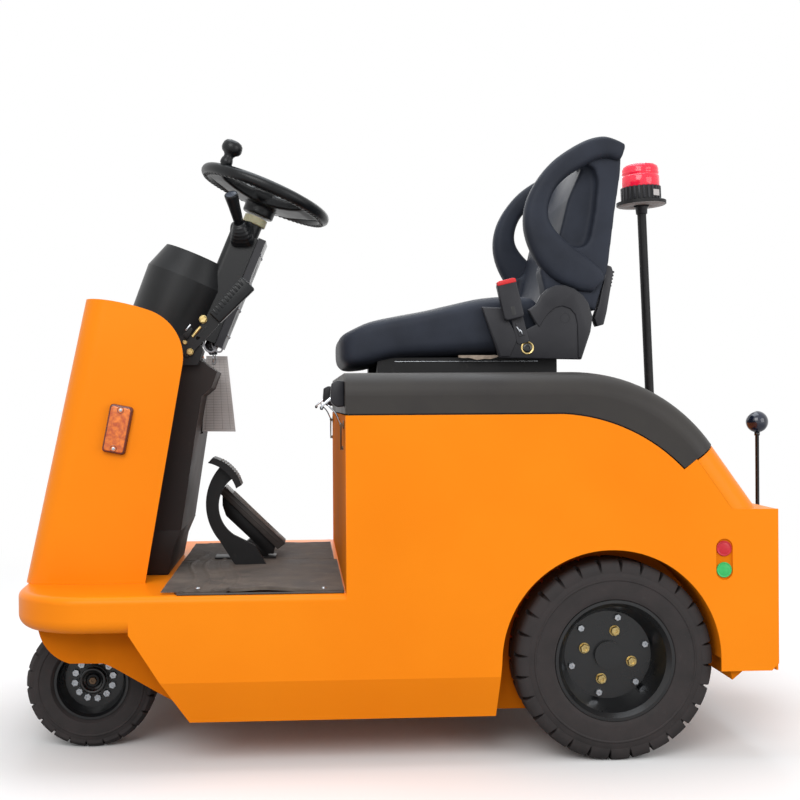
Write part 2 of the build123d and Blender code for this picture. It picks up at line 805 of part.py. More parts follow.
# Console behind the shield: a moulded housing, open to the front and below
console_wall = 4
console_peak = (-495, 809)
deck_start = (-496.5, 815)
deck_end = (-700, 815 + 203.5 * tan(radians(column_tilt)))
console_base = floor_top + skin_gap
channel_half_width = 34
with BuildPart() as console:
    with BuildSketch(side(console_half_width)):
        with BuildLine():
            Polyline(
                (-556, console_base), (-545, 395), (-527, 436), (-494, 651), (-481, 724),
                (-461, 741), (-448, 776), console_peak, deck_start, deck_end, (-816, console_base),
                close=True,
            )
        make_face()
    extrude(amount=2 * console_half_width)
    with BuildSketch(side(console_half_width - console_wall)):
        with BuildLine():
            Polyline(
                (-560, floor_top), (-549, 397), (-531, 437), (-498, 652), (-485, 727),
                (-466, 744), (-453, 775), (-497, 804), (-500, 812),
                (deck_end[0], deck_end[1] - console_wall - 2), (-720, deck_end[1] - console_wall - 2),
                (-840, floor_top),
                close=True,
            )
        make_face()
    extrude(amount=2 * (console_half_width - console_wall), mode=Mode.SUBTRACT)
    with BuildSketch(side(channel_half_width + console_wall)):
        with BuildLine():
            Polyline(
                (-508, 638), (-496, 640), (-481, 724), (-461, 741), (-448, 776), console_peak,
                deck_start, (-508, 818),
                close=True,
            )
        make_face()
    extrude(amount=2 * (channel_half_width + console_wall))
    with BuildSketch(side(channel_half_width)):
        with Locations((-400, 740)):
            Rectangle(204, 204)
    extrude(amount=2 * channel_half_width, mode=Mode.SUBTRACT)
console.part.label = "console"
export_step(console.part, "parts/console.step")

# Column cover: the neck, its head tube and the round instrument pod in one moulding
head_radius = 21
collar_low = -74
with BuildPart() as column_cover:
    with BuildSketch(column.offset(column_low)):
        with Locations(((column_front + column_back) / 2, 0)):
            Rectangle(column_back - column_front, column_width)
    extrude(amount=column_high - column_low)
    long_edges = column_cover.edges().filter_by(lambda e: e.length > column_high - column_low - 1)
    fillet(long_edges.group_by(lambda e: round(column.to_local_coords(e.center()).X))[0], 16)
    with BuildSketch(column.offset(pod_foot)):
        with Locations((pod_centre, 0)):
            Circle(pod_radius - 6)
    with BuildSketch(column.offset(pod_shoulder)):
        with Locations((pod_centre, 0)):
            Circle(pod_radius)
    loft()
    with BuildSketch(column.offset(pod_shoulder)):
        with Locations((pod_centre, 0)):
            Circle(pod_radius)
    with BuildSketch(column.offset(pod_top)):
        with Locations((pod_centre, 0)):
            Circle(pod_top_radius)
    loft()
    with BuildSketch(column.offset(column_high)):
        Circle(head_radius)
    extrude(amount=collar_low - skin_gap - column_high)
column_cover.part.label = "column_cover"
export_step(column_cover.part, "parts/column_cover.step")

# Column's back plate with its adjusting slots
slot_pitch = 62
with BuildPart() as column_back_plate:
    with BuildSketch(column.offset(column_low - 4)):
        with Locations((column_back + skin_gap + back_plate / 2, 0)):
            Rectangle(back_plate, column_width - 8)
    extrude(amount=column_high - column_low + 8)
    slot_plane = Plane(
        origin=column.from_local_coords((column_back + skin_gap + back_plate, 0, 0)),
        x_dir=(0, 1, 0),
        z_dir=column.x_dir,
    )
    with BuildSketch(slot_plane):
        for row in range(3):
            with Locations((0, (column_low + column_high) / 2 + (row - 1) * slot_pitch)):
                SlotOverall(34, 9, rotation=90)
    extrude(amount=-5, mode=Mode.SUBTRACT)
column_back_plate.part.label = "column_back_plate"
export_step(column_back_plate.part, "parts/column_back_plate.step")

# Pale bearing collar on the column's head
collar_high = -56
collar_radius = 27
with BuildPart() as bearing_collar:
    with BuildSketch(column.offset(collar_low)):
        Circle(collar_radius)
    extrude(amount=collar_high - collar_low)
    fillet(bearing_collar.edges().group_by(lambda e: column.to_local_coords(e.center()).Z)[0], 3)
bearing_collar.part.label = "bearing_collar"
export_step(bearing_collar.part, "parts/bearing_collar.step")

# Steering wheel: rim, hub, three flat spokes and the spinner knob
hub_low = collar_high + running_clearance
hub_high = -6
hub_radius = 37
spoke_width = 34
spoke = 7
spoke_z = -20
spinner_angle = 224
spinner_height = 78
with BuildPart() as steering_wheel:
    with BuildSketch(Plane(origin=column.origin, x_dir=column.x_dir, z_dir=(0, 1, 0))):
        with Locations((steering_radius - grip_radius, 0)):
            Circle(grip_radius)
    revolve(axis=Axis(column.origin, column.z_dir))
    with BuildSketch(column.offset(hub_low)):
        Circle(hub_radius)
    with BuildSketch(column.offset(hub_high)):
        Circle(hub_radius + 7)
    loft()
    with BuildSketch(column.offset(spoke_z)):
        for angle in (90, 210, 330):
            with Locations(Rot(0, 0, angle) * Pos((steering_radius - grip_radius) / 2, 0)):
                Rectangle(steering_radius - grip_radius, spoke_width)
        Circle(steering_radius - grip_radius, mode=Mode.INTERSECT)
    extrude(amount=spoke)
    with BuildSketch(column.offset(5)):
        with PolarLocations(steering_radius - grip_radius, 1, start_angle=spinner_angle):
            RegularPolygon(9.5, 6)
    extrude(amount=27)
    knob_centre = column.from_local_coords(
        (
            (steering_radius - grip_radius) * cos(radians(spinner_angle)),
            (steering_radius - grip_radius) * sin(radians(spinner_angle)),
            0,
        )
    )
    knob_plane = Plane(origin=knob_centre, x_dir=column.x_dir, z_dir=(0, 1, 0))
    with BuildSketch(knob_plane) as knob:
        with BuildLine():
            Polyline(
                (0, -31), (13, -31), (13, -42), (22.5, -48), (22.5, -spinner_height), (0, -spinner_height),
                close=True,
            )
        make_face()
        fillet(knob.vertices().group_by(Axis.X)[-1], 9)
    revolve(axis=Axis(knob_centre, column.z_dir))
steering_wheel.part.label = "steering_wheel"
export_step(steering_wheel.part, "parts/steering_wheel.step")

# Drive direction lever, its ribbed boot and the pale cap on its grip
lever_foot = Vector(-398, -column_width / 2, 1088)
lever_dir = Vector(-0.08, -0.64, 0.764)
lever_plane = Plane(origin=lever_foot, x_dir=(1, 0, 0.105), z_dir=lever_dir)
boot_length = 32
boot_ribs = 5
with BuildPart() as lever_boot:
    for rib in range(boot_ribs):
        with BuildSketch(lever_plane.offset(rib * boot_length / boot_ribs)):
            RectangleRounded(54 - 5 * rib, 50 - 5 * rib, 12 - rib)
        extrude(amount=boot_length / boot_ribs - 2)
        with BuildSketch(lever_plane.offset((rib + 1) * boot_length / boot_ribs - 2)):
            RectangleRounded(46 - 5 * rib, 42 - 5 * rib, 8)
        extrude(amount=2)
    with BuildSketch(Plane.XZ.offset(column_width / 2 + skin_gap)):
        with Locations((lever_foot.X, lever_foot.Z)):
            Rectangle(300, 300)
    extrude(amount=-200, mode=Mode.SUBTRACT)
lever_boot.part.label = "lever_boot"
export_step(lever_boot.part, "parts/lever_boot.step")

lever_length = 92
with BuildPart() as direction_lever:
    with BuildSketch(lever_plane.offset(boot_length + skin_gap)):
        Circle(9.5)
    with BuildSketch(lever_plane.offset(lever_length)):
        Circle(13)
    loft()
    fillet(direction_lever.edges().group_by(lambda e: lever_plane.to_local_coords(e.center()).Z)[-1], 3)
direction_lever.part.label = "direction_lever"
export_step(direction_lever.part, "parts/direction_lever.step")

# Parking brake: bracket on the console, slotted arm and ribbed grip
brake_y = -190
brake_plate = 6
brake_foot = Vector(-508, brake_y, 826)
brake_angle = 46
brake_plane = Plane(
    origin=brake_foot,
    x_dir=(cos(radians(brake_angle)), 0, sin(radians(brake_angle))),
    z_dir=(0, -1, 0),
)
brake_arm_end = 84
with BuildPart() as brake_lever:
    with BuildSketch(side(-console_half_width)):
        with BuildLine():
            Polyline(
                (-545, 790), (-488, 790), (-476, 822), (-488, 842), (-516, 856), (-545, 840),
                close=True,
            )
        make_face()
    extrude(amount=-brake_y - console_half_width)
    fillet(brake_lever.edges().filter_by(Axis.Y), 4)
    with BuildSketch(brake_plane):
        with Locations((brake_arm_end / 2 - 8, 0)):
            RectangleRounded(brake_arm_end + 16, 27, 6)
        with Locations((46, 0)):
            SlotOverall(40, 8, mode=Mode.SUBTRACT)
    extrude(amount=brake_plate)
brake_lever.part.label = "brake_lever"
export_step(brake_lever.part, "parts/brake_lever.step")

brake_grip_length = 106
with BuildPart() as brake_grip:
    with BuildSketch(brake_plane.offset(-9)):
        with Locations((brake_arm_end + skin_gap + brake_grip_length / 2, 3)):
            Rectangle(brake_grip_length, 38)
    extrude(amount=24)
    fillet(brake_grip.edges().filter_by(lambda e: e.length > brake_grip_length - 1), 9)
brake_grip.part.label = "brake_grip"
export_step(brake_grip.part, "parts/brake_grip.step")

# Key switch under the column's foot, with the key, its ring and the plain card on the ring
key_plane = column.offset(column_low)
key_across = 13
switch_length = 12
ring_x = -468
ring_y = -6
ring_radius = 13
ring_wire = 1.3
ring_z = 812
eye_radius = ring_wire + skin_gap
with BuildPart() as key_switch:
    with BuildSketch(key_plane):
        with Locations((key_across, ring_y)):
            Circle(11)
    extrude(amount=-switch_length)
    with BuildSketch(side(ring_y + 1.2)):
        with BuildLine():
            Polyline((-485, 842), (-476, 838), (-459, 832), (-459, 820), (-476, 819), (-489, 838), close=True)
        make_face()
        with Locations((ring_x, ring_z + ring_radius)):
            Circle(eye_radius, mode=Mode.SUBTRACT)
    extrude(amount=2.4)
key_switch.part.label = "key_switch"
export_step(key_switch.part, "parts/key_switch.step")

with BuildPart() as key_ring:
    with BuildSketch(side(ring_y)):
        with Locations((ring_x, ring_z + ring_radius)):
            Circle(ring_wire)
    revolve(axis=Axis((ring_x, ring_y, ring_z), (1, 0, 0)))
key_ring.part.label = "key_ring"
export_step(key_ring.part, "parts/key_ring.step")

card_width = 76
card_height = 172
card_low = 644
with BuildPart() as key_card:
    with BuildSketch(side(ring_y + 0.5)):
        with BuildLine():
            Polyline(
                (-494, card_low), (-494 + card_width, card_low - 1),
                (-436, card_low + card_height), (-484, card_low + card_height + 1),
                close=True,
            )
        make_face()
        with Locations((ring_x, ring_z - ring_radius)):
            Circle(eye_radius, mode=Mode.SUBTRACT)
    extrude(amount=1)
key_card.part.label = "key_card"
export_step(key_card.part, "parts/key_card.step")

# Floor mat in two overlapping pieces
mat = 6
mat_front = -542
mat_back = battery_wall_x - 2
mat_seam_y = 10
with BuildPart() as floor_mat:
    with BuildSketch(Plane.XY.offset(floor_top)):
        with Locations(((mat_front + mat_back) / 2, (mat_seam_y - 434) / 2)):
            Rectangle(mat_back - mat_front, mat_seam_y + 434)
        with Locations(((mat_front + mat_back) / 2, (mat_seam_y + 345) / 2)):
            Rectangle(mat_back - mat_front - 6, 345 - mat_seam_y)
    extrude(amount=mat)
floor_mat.part.label = "floor_mat"
export_step(floor_mat.part, "parts/floor_mat.step")

# Brake pedal: a curved arm with a bowed pad on a foot bracket
pedal_y = -60
floor_skin = floor_top + mat
with BuildPart() as brake_pedal:
    with BuildSketch(side(pedal_y + 8)):
        with BuildLine():
            Line((-450, 566), (-421, 540))
            ThreePointArc((-421, 540), (-454, 470), (-420, 412))
            Polyline((-420, 412), (-372, 388), (-348, floor_skin), (-418, floor_skin), (-452, 400))
            ThreePointArc((-452, 400), (-482, 478), (-450, 566))
        make_face()
    extrude(amount=16)
    with BuildSketch(side(pedal_y + 38)):
        with BuildLine():
            ThreePointArc((-475, 576), (-436, 556), (-413, 519))
            Line((-413, 519), (-401, 526))
            ThreePointArc((-401, 526), (-427, 568), (-464, 588))
            Line((-464, 588), (-475, 576))
        make_face()
    extrude(amount=76)
brake_pedal.part.label = "brake_pedal"
export_step(brake_pedal.part, "parts/brake_pedal.step")

# Accelerator: a ribbed treadle on a wedge housing
treadle_y = 20
treadle_width = 76
with BuildPart() as accelerator:
    with BuildSketch(side(treadle_y + treadle_width - 8)):
        with BuildLine():
            Polyline(
                (-448, 490), (-326, 370), (-330, floor_skin), (-470, floor_skin), (-488, 372), (-472, 480),
                close=True,
            )
        make_face()
    extrude(amount=treadle_width - 16)
    with BuildSketch(side(treadle_y + treadle_width)) as treadle:
        with BuildLine():
            Polyline((-458, 500), (-322, 366), (-306, 381), (-444, 516), close=True)
        make_face()
        fillet(treadle.vertices(), 3)
    extrude(amount=treadle_width)
accelerator.part.label = "accelerator"
export_step(accelerator.part, "parts/accelerator.step")

# Side marker lamps on the shield's wings
marker = (-643, 656)
marker_tilt = 11
marker_base = 5
with BuildPart() as side_markers:
    for sign in (-1, 1):
        with BuildSketch(side(sign * (shield_half_width + skin_gap))):
            with Locations(Location(marker, -marker_tilt)):
                RectangleRounded(48, 100, 7)
        extrude(amount=-sign * marker_base)
        with BuildSketch(side(sign * (shield_half_width + marker_base))):
            with Locations(Location(marker, -marker_tilt)):
                RectangleRounded(43, 94, 6)
        extrude(amount=-sign * 9)
    fillet(side_markers.faces().sort_by(Axis.Y)[0].edges(), 4)
    fillet(side_markers.faces().sort_by(Axis.Y)[-1].edges(), 4)
side_markers.part.label = "side_markers"
export_step(side_markers.part, "parts/side_markers.step")

# Cover hinges: a fixed leaf with its pin, and the two eyes that turn with the cover
hinge_reach = 34
hinge_drop = sheet + skin_gap + hinge_leaf
eye_reach = 26
lid_drop = lid_wall + 1.3 + hinge_leaf
with BuildPart() as hinge_pins:
    for y in (-hinge_spacing / 2, hinge_spacing / 2):
        with BuildSketch(hinge_axis.offset(-y - fixed_length / 2)):
            Circle(hinge_barrel)
            with Locations((0, -hinge_drop / 2)):
                Rectangle(hinge_leaf, hinge_drop)
            with Locations((hinge_reach / 2, -sheet - skin_gap - hinge_leaf / 2)):
                Rectangle(hinge_reach, hinge_leaf)
        extrude(amount=fixed_length)
        with BuildSketch(hinge_axis.offset(-y - fixed_length / 2 - eye_length)):
            Circle(hinge_pin)
        extrude(amount=fixed_length + 2 * eye_length)
hinge_pins.part.label = "hinge_pins"
export_step(hinge_pins.part, "parts/hinge_pins.step")

with BuildPart() as hinge_eyes:
    for y in (-hinge_spacing / 2, hinge_spacing / 2):
        for end in (-1, 1):
            start = -y + end * (fixed_length / 2 + eye_gap)
            with BuildSketch(hinge_axis.offset(start)):
                Circle(hinge_barrel)
                with Locations((-hinge_leaf / 2, -lid_drop / 2)):
                    Rectangle(hinge_leaf, lid_drop)
                with Locations((-eye_reach / 2, hinge_leaf / 2 - lid_drop)):
                    Rectangle(eye_reach, hinge_leaf)
                Circle(hinge_pin + running_clearance, mode=Mode.SUBTRACT)
            extrude(amount=end * eye_length)
hinge_eyes.part.label = "hinge_eyes"
export_step(hinge_eyes.part, "parts/hinge_eyes.step")

# Battery cover latches: a draw catch on the wall and its keeper on the cover
latch_y = body_half_width - 70
latch_top = 668
with BuildPart() as lid_latches:
    for y in (-latch_y, latch_y):
        with BuildSketch(side(y + 17)):
            with BuildLine():
                Polyline(
                    (battery_wall_x, 624), (battery_wall_x - 4, 622), (battery_wall_x - 12, 650),
                    (battery_wall_x - 26, latch_top), (battery_wall_x - 22, latch_top + 6),
                    (battery_wall_x, latch_top),
                    close=True,
                )
            make_face()
        extrude(amount=34)
lid_latches.part.label = "lid_latches"
export_step(lid_latches.part, "parts/lid_latches.step")

with BuildPart() as latch_keepers:
    for y in (-latch_y, latch_y):
        with BuildSketch(side(y + 15)):
            with BuildLine():
                Polyline(
                    (battery_wall_x, 700), (battery_wall_x, 745), (battery_wall_x - 8, 745),
                    (battery_wall_x - 12, 712), (battery_wall_x - 32, 706), (battery_wall_x - 38, 694),
                    (battery_wall_x - 34, 691), (battery_wall_x - 24, 698),
                    close=True,
                )
            make_face()
        extrude(amount=30)
latch_keepers.part.label = "latch_keepers"
export_step(latch_keepers.part, "parts/latch_keepers.step")

# Seat slides between the cover and the cushion
rail_height_seat = 34
slide_y = 165
with BuildPart() as seat_slides:
    for y in (-slide_y, slide_y):
        with BuildSketch(Plane.YZ.offset(-103)):
            with Locations((y, lid_top + (rail_z + 30 - lid_top) / 2)):
                Rectangle(44, rail_z + 30 - lid_top)
        extrude(amount=391)
    for x in (-86, 262):
        with BuildSketch(Plane.XY.offset(lid_top)):
            with Locations((x, 0)):
                Rectangle(34, 2 * slide_y)
        extrude(amount=8)
seat_slides.part.label = "seat_slides"
export_step(seat_slides.part, "parts/seat_slides.step")

# Seat cushion: plain closed form of the padded base
cover_depth = 12
cushion_half_width = seat_half_width - cover_depth - skin_gap
cushion_foot = rail_z + 30 + skin_gap
with BuildPart() as seat_cushion:
    with BuildSketch(side(cushion_half_width)) as cushion_side:
        with BuildLine():
            Polyline(
                (-164, 779), (-131, 786), (-110, cushion_foot), (250, cushion_foot), (250, 931), (115, 929),
            )
            ThreePointArc((115, 929), (-30, 906), (-181, 856))
            ThreePointArc((-181, 856), (-190, 825), (-164, 779))
        make_face()
    extrude(amount=2 * cushion_half_width)
seat_cushion.part.label = "seat_cushion"
export_step(seat_cushion.part, "parts/seat_cushion.step")

# Seat back: the centre pad between the two side wings
pad_half_width = 165
with BuildPart() as seat_back:
    with BuildSketch(side(pad_half_width)):
        with BuildLine():
            Polyline((268, 930), (292, 1020), (334, 1180), (378, 1262))
            ThreePointArc((378, 1262), (405, 1262), (415, 1238))
            ThreePointArc((415, 1238), (408, 1140), (376, 975))
            Polyline((376, 975), (350, 930), (268, 930))
        make_face()
    extrude(amount=2 * pad_half_width)
seat_back.part.label = "seat_back"
export_step(seat_back.part, "parts/seat_back.step")

# Side wings: padded hoops with an oval opening
with BuildPart() as seat_wings:
    for sign in (-1, 1):
        with BuildSketch(side(sign * (pad_half_width + skin_gap))):
            with BuildLine():
                ThreePointArc((364, 1270), (400, 1270), (422, 1240))
                ThreePointArc((422, 1240), (410, 1120), (372, 960))
                Polyline((372, 960), (358, 905), (306, 905), (306, 966))
                ThreePointArc((306, 966), (240, 1006), (208, 1092))
                ThreePointArc((208, 1092), (262, 1208), (364, 1270))
            make_face()
            with BuildLine():
                ThreePointArc((366, 1212), (292, 1182), (262, 1118))
                ThreePointArc((262, 1118), (277, 1072), (312, 1042))
                ThreePointArc((312, 1042), (338, 1045), (352, 1070))
                Line((352, 1070), (374, 1190))
                ThreePointArc((374, 1190), (373, 1205), (366, 1212))
            make_face(mode=Mode.SUBTRACT)
        extrude(amount=-sign * (cushion_half_width - pad_half_width - skin_gap))
seat_wings.part.label = "seat_wings"
export_step(seat_wings.part, "parts/seat_wings.step")

# Covers over the recliner hinges
with BuildPart() as recliner_covers:
    for sign in (-1, 1):
        with BuildSketch(side(sign * (cushion_half_width + skin_gap))):
            with BuildLine():
                Polyline((116, 910), (162, 908), (190, 850), (234, 872), (215, 903), (233, 914))
                ThreePointArc((233, 914), (284, 957), (345, 924))
                Polyline((345, 924), (356, 888), (351, 856), (331, 797), (154, 801), (116, 910))
            make_face()
        extrude(amount=-sign * cover_depth)
recliner_covers.part.label = "recliner_covers"
export_step(recliner_covers.part, "parts/recliner_covers.step")

# Seat belt buckle on its stalk, bolted beside the cushion
buckle_y = -(cushion_half_width + cover_depth + 2 * skin_gap)
with BuildPart() as seat_buckle:
    with BuildSketch(side(buckle_y)):
        with Locations(Location((198, 845), 4)):
            RectangleRounded(30, 90, 8)
    extrude(amount=4)
    with BuildSketch(side(buckle_y)):
        with Locations(Location((178, 923), 12)):
            RectangleRounded(40, 84, 9)
    extrude(amount=17)
seat_buckle.part.label = "seat_buckle"
export_step(seat_buckle.part, "parts/seat_buckle.step")

# Beacon on its leaning post, standing on the tail
post_radius = 11.5
post_length = 727
beacon_axis = Plane(
    origin=(beacon_x, beacon_y, tail_top),
    z_dir=(-sin(radians(beacon_lean)), 0, cos(radians(beacon_lean))),
)
post_foot = 6
flange = 8
flange_radius = 64
base_height = 44
base_radius = 50
with BuildPart() as beacon_post:
    with BuildSketch(Plane.XY.offset(tail_top)):
        with Locations((beacon_x, beacon_y)):
            RectangleRounded(26, 72, 5)
    extrude(amount=post_foot)
    with BuildSketch(beacon_axis.offset(post_foot / 2)):
        Circle(post_radius)
    extrude(amount=post_length)
    with BuildSketch(beacon_axis.offset(post_length)):
        Circle(flange_radius)
    extrude(amount=flange)
    with BuildSketch(beacon_axis.offset(post_length)):
        Circle(base_radius)
    extrude(amount=base_height)
beacon_post.part.label = "beacon_post"
export_step(beacon_post.part, "parts/beacon_post.step")

lens_height = 63
lens_radius = 49
with BuildPart() as beacon_lens:
    with BuildSketch(beacon_axis.offset(post_length + base_height)):
        Circle(lens_radius)
    with BuildSketch(beacon_axis.offset(post_length + base_height + lens_height)):
        Circle(lens_radius - 3)
    loft()
    fillet(beacon_lens.edges().group_by(lambda e: beacon_axis.to_local_coords(e.center()).Z)[-1], 8)
beacon_lens.part.label = "beacon_lens"
export_step(beacon_lens.part, "parts/beacon_lens.step")

# Indicator lamps on a plate behind the upright slot in the tail's left side
indicator_radius = 14.5
plate_depth = 3
with BuildPart() as indicator_plate:
    with BuildSketch(side(-inner_half + plate_depth)):
        with Locations(indicator):
            RectangleRounded(indicator_width + 12, indicator_height + 12, 12)
    extrude(amount=plate_depth)
indicator_plate.part.label = "indicator_plate"
export_step(indicator_plate.part, "parts/indicator_plate.step")

with BuildPart() as indicator_lamps:
    with BuildSketch(side(-inner_half)):
        with Locations(indicator):
            with Locations((0, indicator_pitch / 2), (0, -indicator_pitch / 2)):
                Circle(indicator_radius)
    extrude(amount=sheet - 1)
indicator_lamps.part.label = "indicator_lamps"
export_step(indicator_lamps.part, "parts/indicator_lamps.step")

# Drawbar jaw behind the tail, and its lifting pin with the ball handle
jaw_low = 300
jaw_high = 400
jaw_plate = 16
jaw_half_width = 58
pin_radius = 12.5
pin_clearance = 0.5
with BuildPart() as hitch_jaw:
    with BuildSketch(Plane.YZ.offset(tail_x)):
        with Locations((0, (jaw_low + jaw_high) / 2)):
            RectangleRounded(170, 180, 12)
    extrude(amount=14)
    with BuildSketch(Plane.XY.offset(jaw_low)):
        with BuildLine():
            Line((tail_x, -jaw_half_width), (hitch_x - 14, -jaw_half_width))
            ThreePointArc(
                (hitch_x - 14, -jaw_half_width), (jaw_end, 0), (hitch_x - 14, jaw_half_width)
            )
            Line((hitch_x - 14, jaw_half_width), (tail_x, jaw_half_width))
            Line((tail_x, jaw_half_width), (tail_x, -jaw_half_width))
        make_face()
    extrude(amount=jaw_high - jaw_low)
    with BuildSketch(side(2 * jaw_half_width)):
        with Locations(((tail_x + 70 + jaw_end + 20) / 2, (jaw_low + jaw_high) / 2)):
            Rectangle(jaw_end + 20 - tail_x - 70, jaw_high - jaw_low - 2 * jaw_plate)
    extrude(amount=4 * jaw_half_width, mode=Mode.SUBTRACT)
    with BuildSketch(Plane.XY.offset(jaw_low)):
        with Locations((hitch_x, 0)):
            Circle(pin_radius + pin_clearance)
    extrude(amount=jaw_high - jaw_low, mode=Mode.SUBTRACT)
hitch_jaw.part.label = "hitch_jaw"
export_step(hitch_jaw.part, "parts/hitch_jaw.step")

pin_collar = 6
ball_z = 657
ball_radius = 25.5
with BuildPart() as hitch_pin:
    with BuildSketch(Plane.XY.offset(jaw_low - 6)):
        with Locations((hitch_x, 0)):
            Circle(pin_radius)
    extrude(amount=jaw_high - jaw_low + 6 + pin_collar)
    with BuildSketch(Plane.XY.offset(jaw_high + skin_gap)):
        with Locations((hitch_x, 0)):
            Circle(pin_radius + 6)
    extrude(amount=pin_collar)
    with BuildSketch(Plane.XY.offset(jaw_high)):
        with Locations((hitch_x, 0)):
            Circle(4.5)
    extrude(amount=ball_z - jaw_high)
    with BuildSketch(side(0)):
        with Locations((hitch_x, ball_z)):
            Circle(ball_radius)
            with Locations((-ball_radius, 0)):
                Rectangle(2 * ball_radius, 4 * ball_radius, mode=Mode.SUBTRACT)
    revolve(axis=Axis((hitch_x, 0, ball_z), (0, 0, 1)))
hitch_pin.part.label = "hitch_pin"
export_step(hitch_pin.part, "parts/hitch_pin.step")
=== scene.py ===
from math import copysign, cos, hypot, pi, radians, sin

import bmesh
import bpy
from mathutils import Matrix, Vector


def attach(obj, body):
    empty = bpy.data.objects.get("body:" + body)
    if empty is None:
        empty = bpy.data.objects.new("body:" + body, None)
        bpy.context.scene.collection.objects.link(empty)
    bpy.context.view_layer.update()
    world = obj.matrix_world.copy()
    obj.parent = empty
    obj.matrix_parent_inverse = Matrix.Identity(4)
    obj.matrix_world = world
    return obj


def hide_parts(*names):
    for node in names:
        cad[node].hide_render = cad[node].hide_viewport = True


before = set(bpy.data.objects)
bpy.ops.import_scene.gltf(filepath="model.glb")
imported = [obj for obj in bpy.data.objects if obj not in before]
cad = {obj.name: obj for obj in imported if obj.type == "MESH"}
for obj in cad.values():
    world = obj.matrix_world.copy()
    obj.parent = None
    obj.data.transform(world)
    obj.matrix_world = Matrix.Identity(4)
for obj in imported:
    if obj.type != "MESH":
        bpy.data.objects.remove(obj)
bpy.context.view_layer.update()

mm = 0.001
scene = bpy.context.scene
print("frame loaded:", len(cad), "nodes")

# the camera stands level on the tug's left, a little ahead of its middle
view = {
    "place": (-0.270, -2.6673, 0.7077),
    "yaw": -3.37,
    "roll": -0.35,
    "lens": 51.885,
    "shift": (0.040, 0.00325),
}
camera = bpy.data.objects.new("camera", bpy.data.cameras.new("camera"))
scene.collection.objects.link(camera)
camera.data.lens = view["lens"]
camera.data.shift_x, camera.data.shift_y = view["shift"]
camera.matrix_world = (
    Matrix.Translation(view["place"])
    @ Matrix.Rotation(radians(view["yaw"]), 4, "Z")
    @ Matrix.Rotation(radians(90), 4, "X")
    @ Matrix.Rotation(radians(view["roll"]), 4, "Z")
)
scene.camera = camera
scene.view_settings.view_transform = "Standard"


def hexColour(text):  # sRGB hex to linear
    parts = [int(text[i:i + 2], 16) / 255 for i in (1, 3, 5)]
    return tuple(c / 12.92 if c <= 0.04045 else ((c + 0.055) / 1.055) ** 2.4 for c in parts) + (1,)


def addNode(tree, kind, inputs=None, links=None, **settings):
    node = tree.nodes.new(kind)
    for key, value in settings.items():
        setattr(node, key, value)
    for key, value in (inputs or {}).items():
        node.inputs[key].default_value = value
    for key, source in (links or {}).items():
        tree.links.new(source, node.inputs[key])
    return node


# grain, blotch and fleck sizes and the depth are in millimetres; rough is that of the dark and of the light patches
def makeMaterial(name, spec):
    material = bpy.data.materials.new(name)
    material.use_nodes = True
    tree = material.node_tree
    shader = tree.nodes["Principled BSDF"]
    shader.inputs["Specular IOR Level"].default_value = spec.get("specular", 0.5)
    for key, value in spec.get("shader", {}).items():
        shader.inputs[key].default_value = value
    place = addNode(tree, "ShaderNodeTexCoord").outputs["Object"]
    blotch = addNode(
        tree, "ShaderNodeTexNoise",
        {"Scale": 1000 / spec["blotch"], "Detail": 3.0, "Roughness": 0.55}, {"Vector": place},
    )
    shades = addNode(tree, "ShaderNodeValToRGB", links={"Fac": blotch.outputs["Fac"]})
    shades.color_ramp.elements[0].position, shades.color_ramp.elements[1].position = 0.32, 0.68
    shades.color_ramp.elements[0].color = hexColour(spec["dark"])
    shades.color_ramp.elements[1].color = hexColour(spec["light"])
    colour = shades.outputs["Color"]
    if "fleck" in spec:  # dust or speckle lying on the colour
        speck = addNode(
            tree, "ShaderNodeTexNoise",
            {"Scale": 1000 / spec["fleckSize"], "Detail": 5.0, "Roughness": 0.7}, {"Vector": place},
        )
        spots = addNode(
            tree, "ShaderNodeMapRange", {"From Min": 0.60, "From Max": 0.80, "To Max": spec["fleckShare"]},
            {"Value": speck.outputs["Fac"]},
        )
        blend = addNode(tree, "ShaderNodeMix", data_type="RGBA", links={0: spots.outputs["Result"], 6: colour})
        blend.inputs[7].default_value = hexColour(spec["fleck"])
        colour = blend.outputs[2]
    tree.links.new(colour, shader.inputs["Base Color"])
    low, high = spec["rough"]
    rough = addNode(
        tree, "ShaderNodeMapRange", {"From Min": 0.3, "From Max": 0.7, "To Min": low, "To Max": high},
        {"Value": blotch.outputs["Fac"]},
    )
    tree.links.new(rough.outputs["Result"], shader.inputs["Roughness"])
    if "grain" in spec:
        if spec.get("pebbled"):  # pressed vinyl
            pattern = addNode(
                tree, "ShaderNodeTexVoronoi", {"Scale": 1000 / spec["grain"]}, {"Vector": place},
                feature="SMOOTH_F1",
            ).outputs["Distance"]
        else:
            pattern = addNode(
                tree, "ShaderNodeTexNoise",
                {"Scale": 1000 / spec["grain"], "Detail": 2.0}, {"Vector": place},
            ).outputs["Fac"]
        bump = addNode(
            tree, "ShaderNodeBump", {"Strength": spec["bump"], "Distance": spec["depth"] * mm}, {"Height": pattern},
        )
        tree.links.new(bump.outputs["Normal"], shader.inputs["Normal"])
    return material


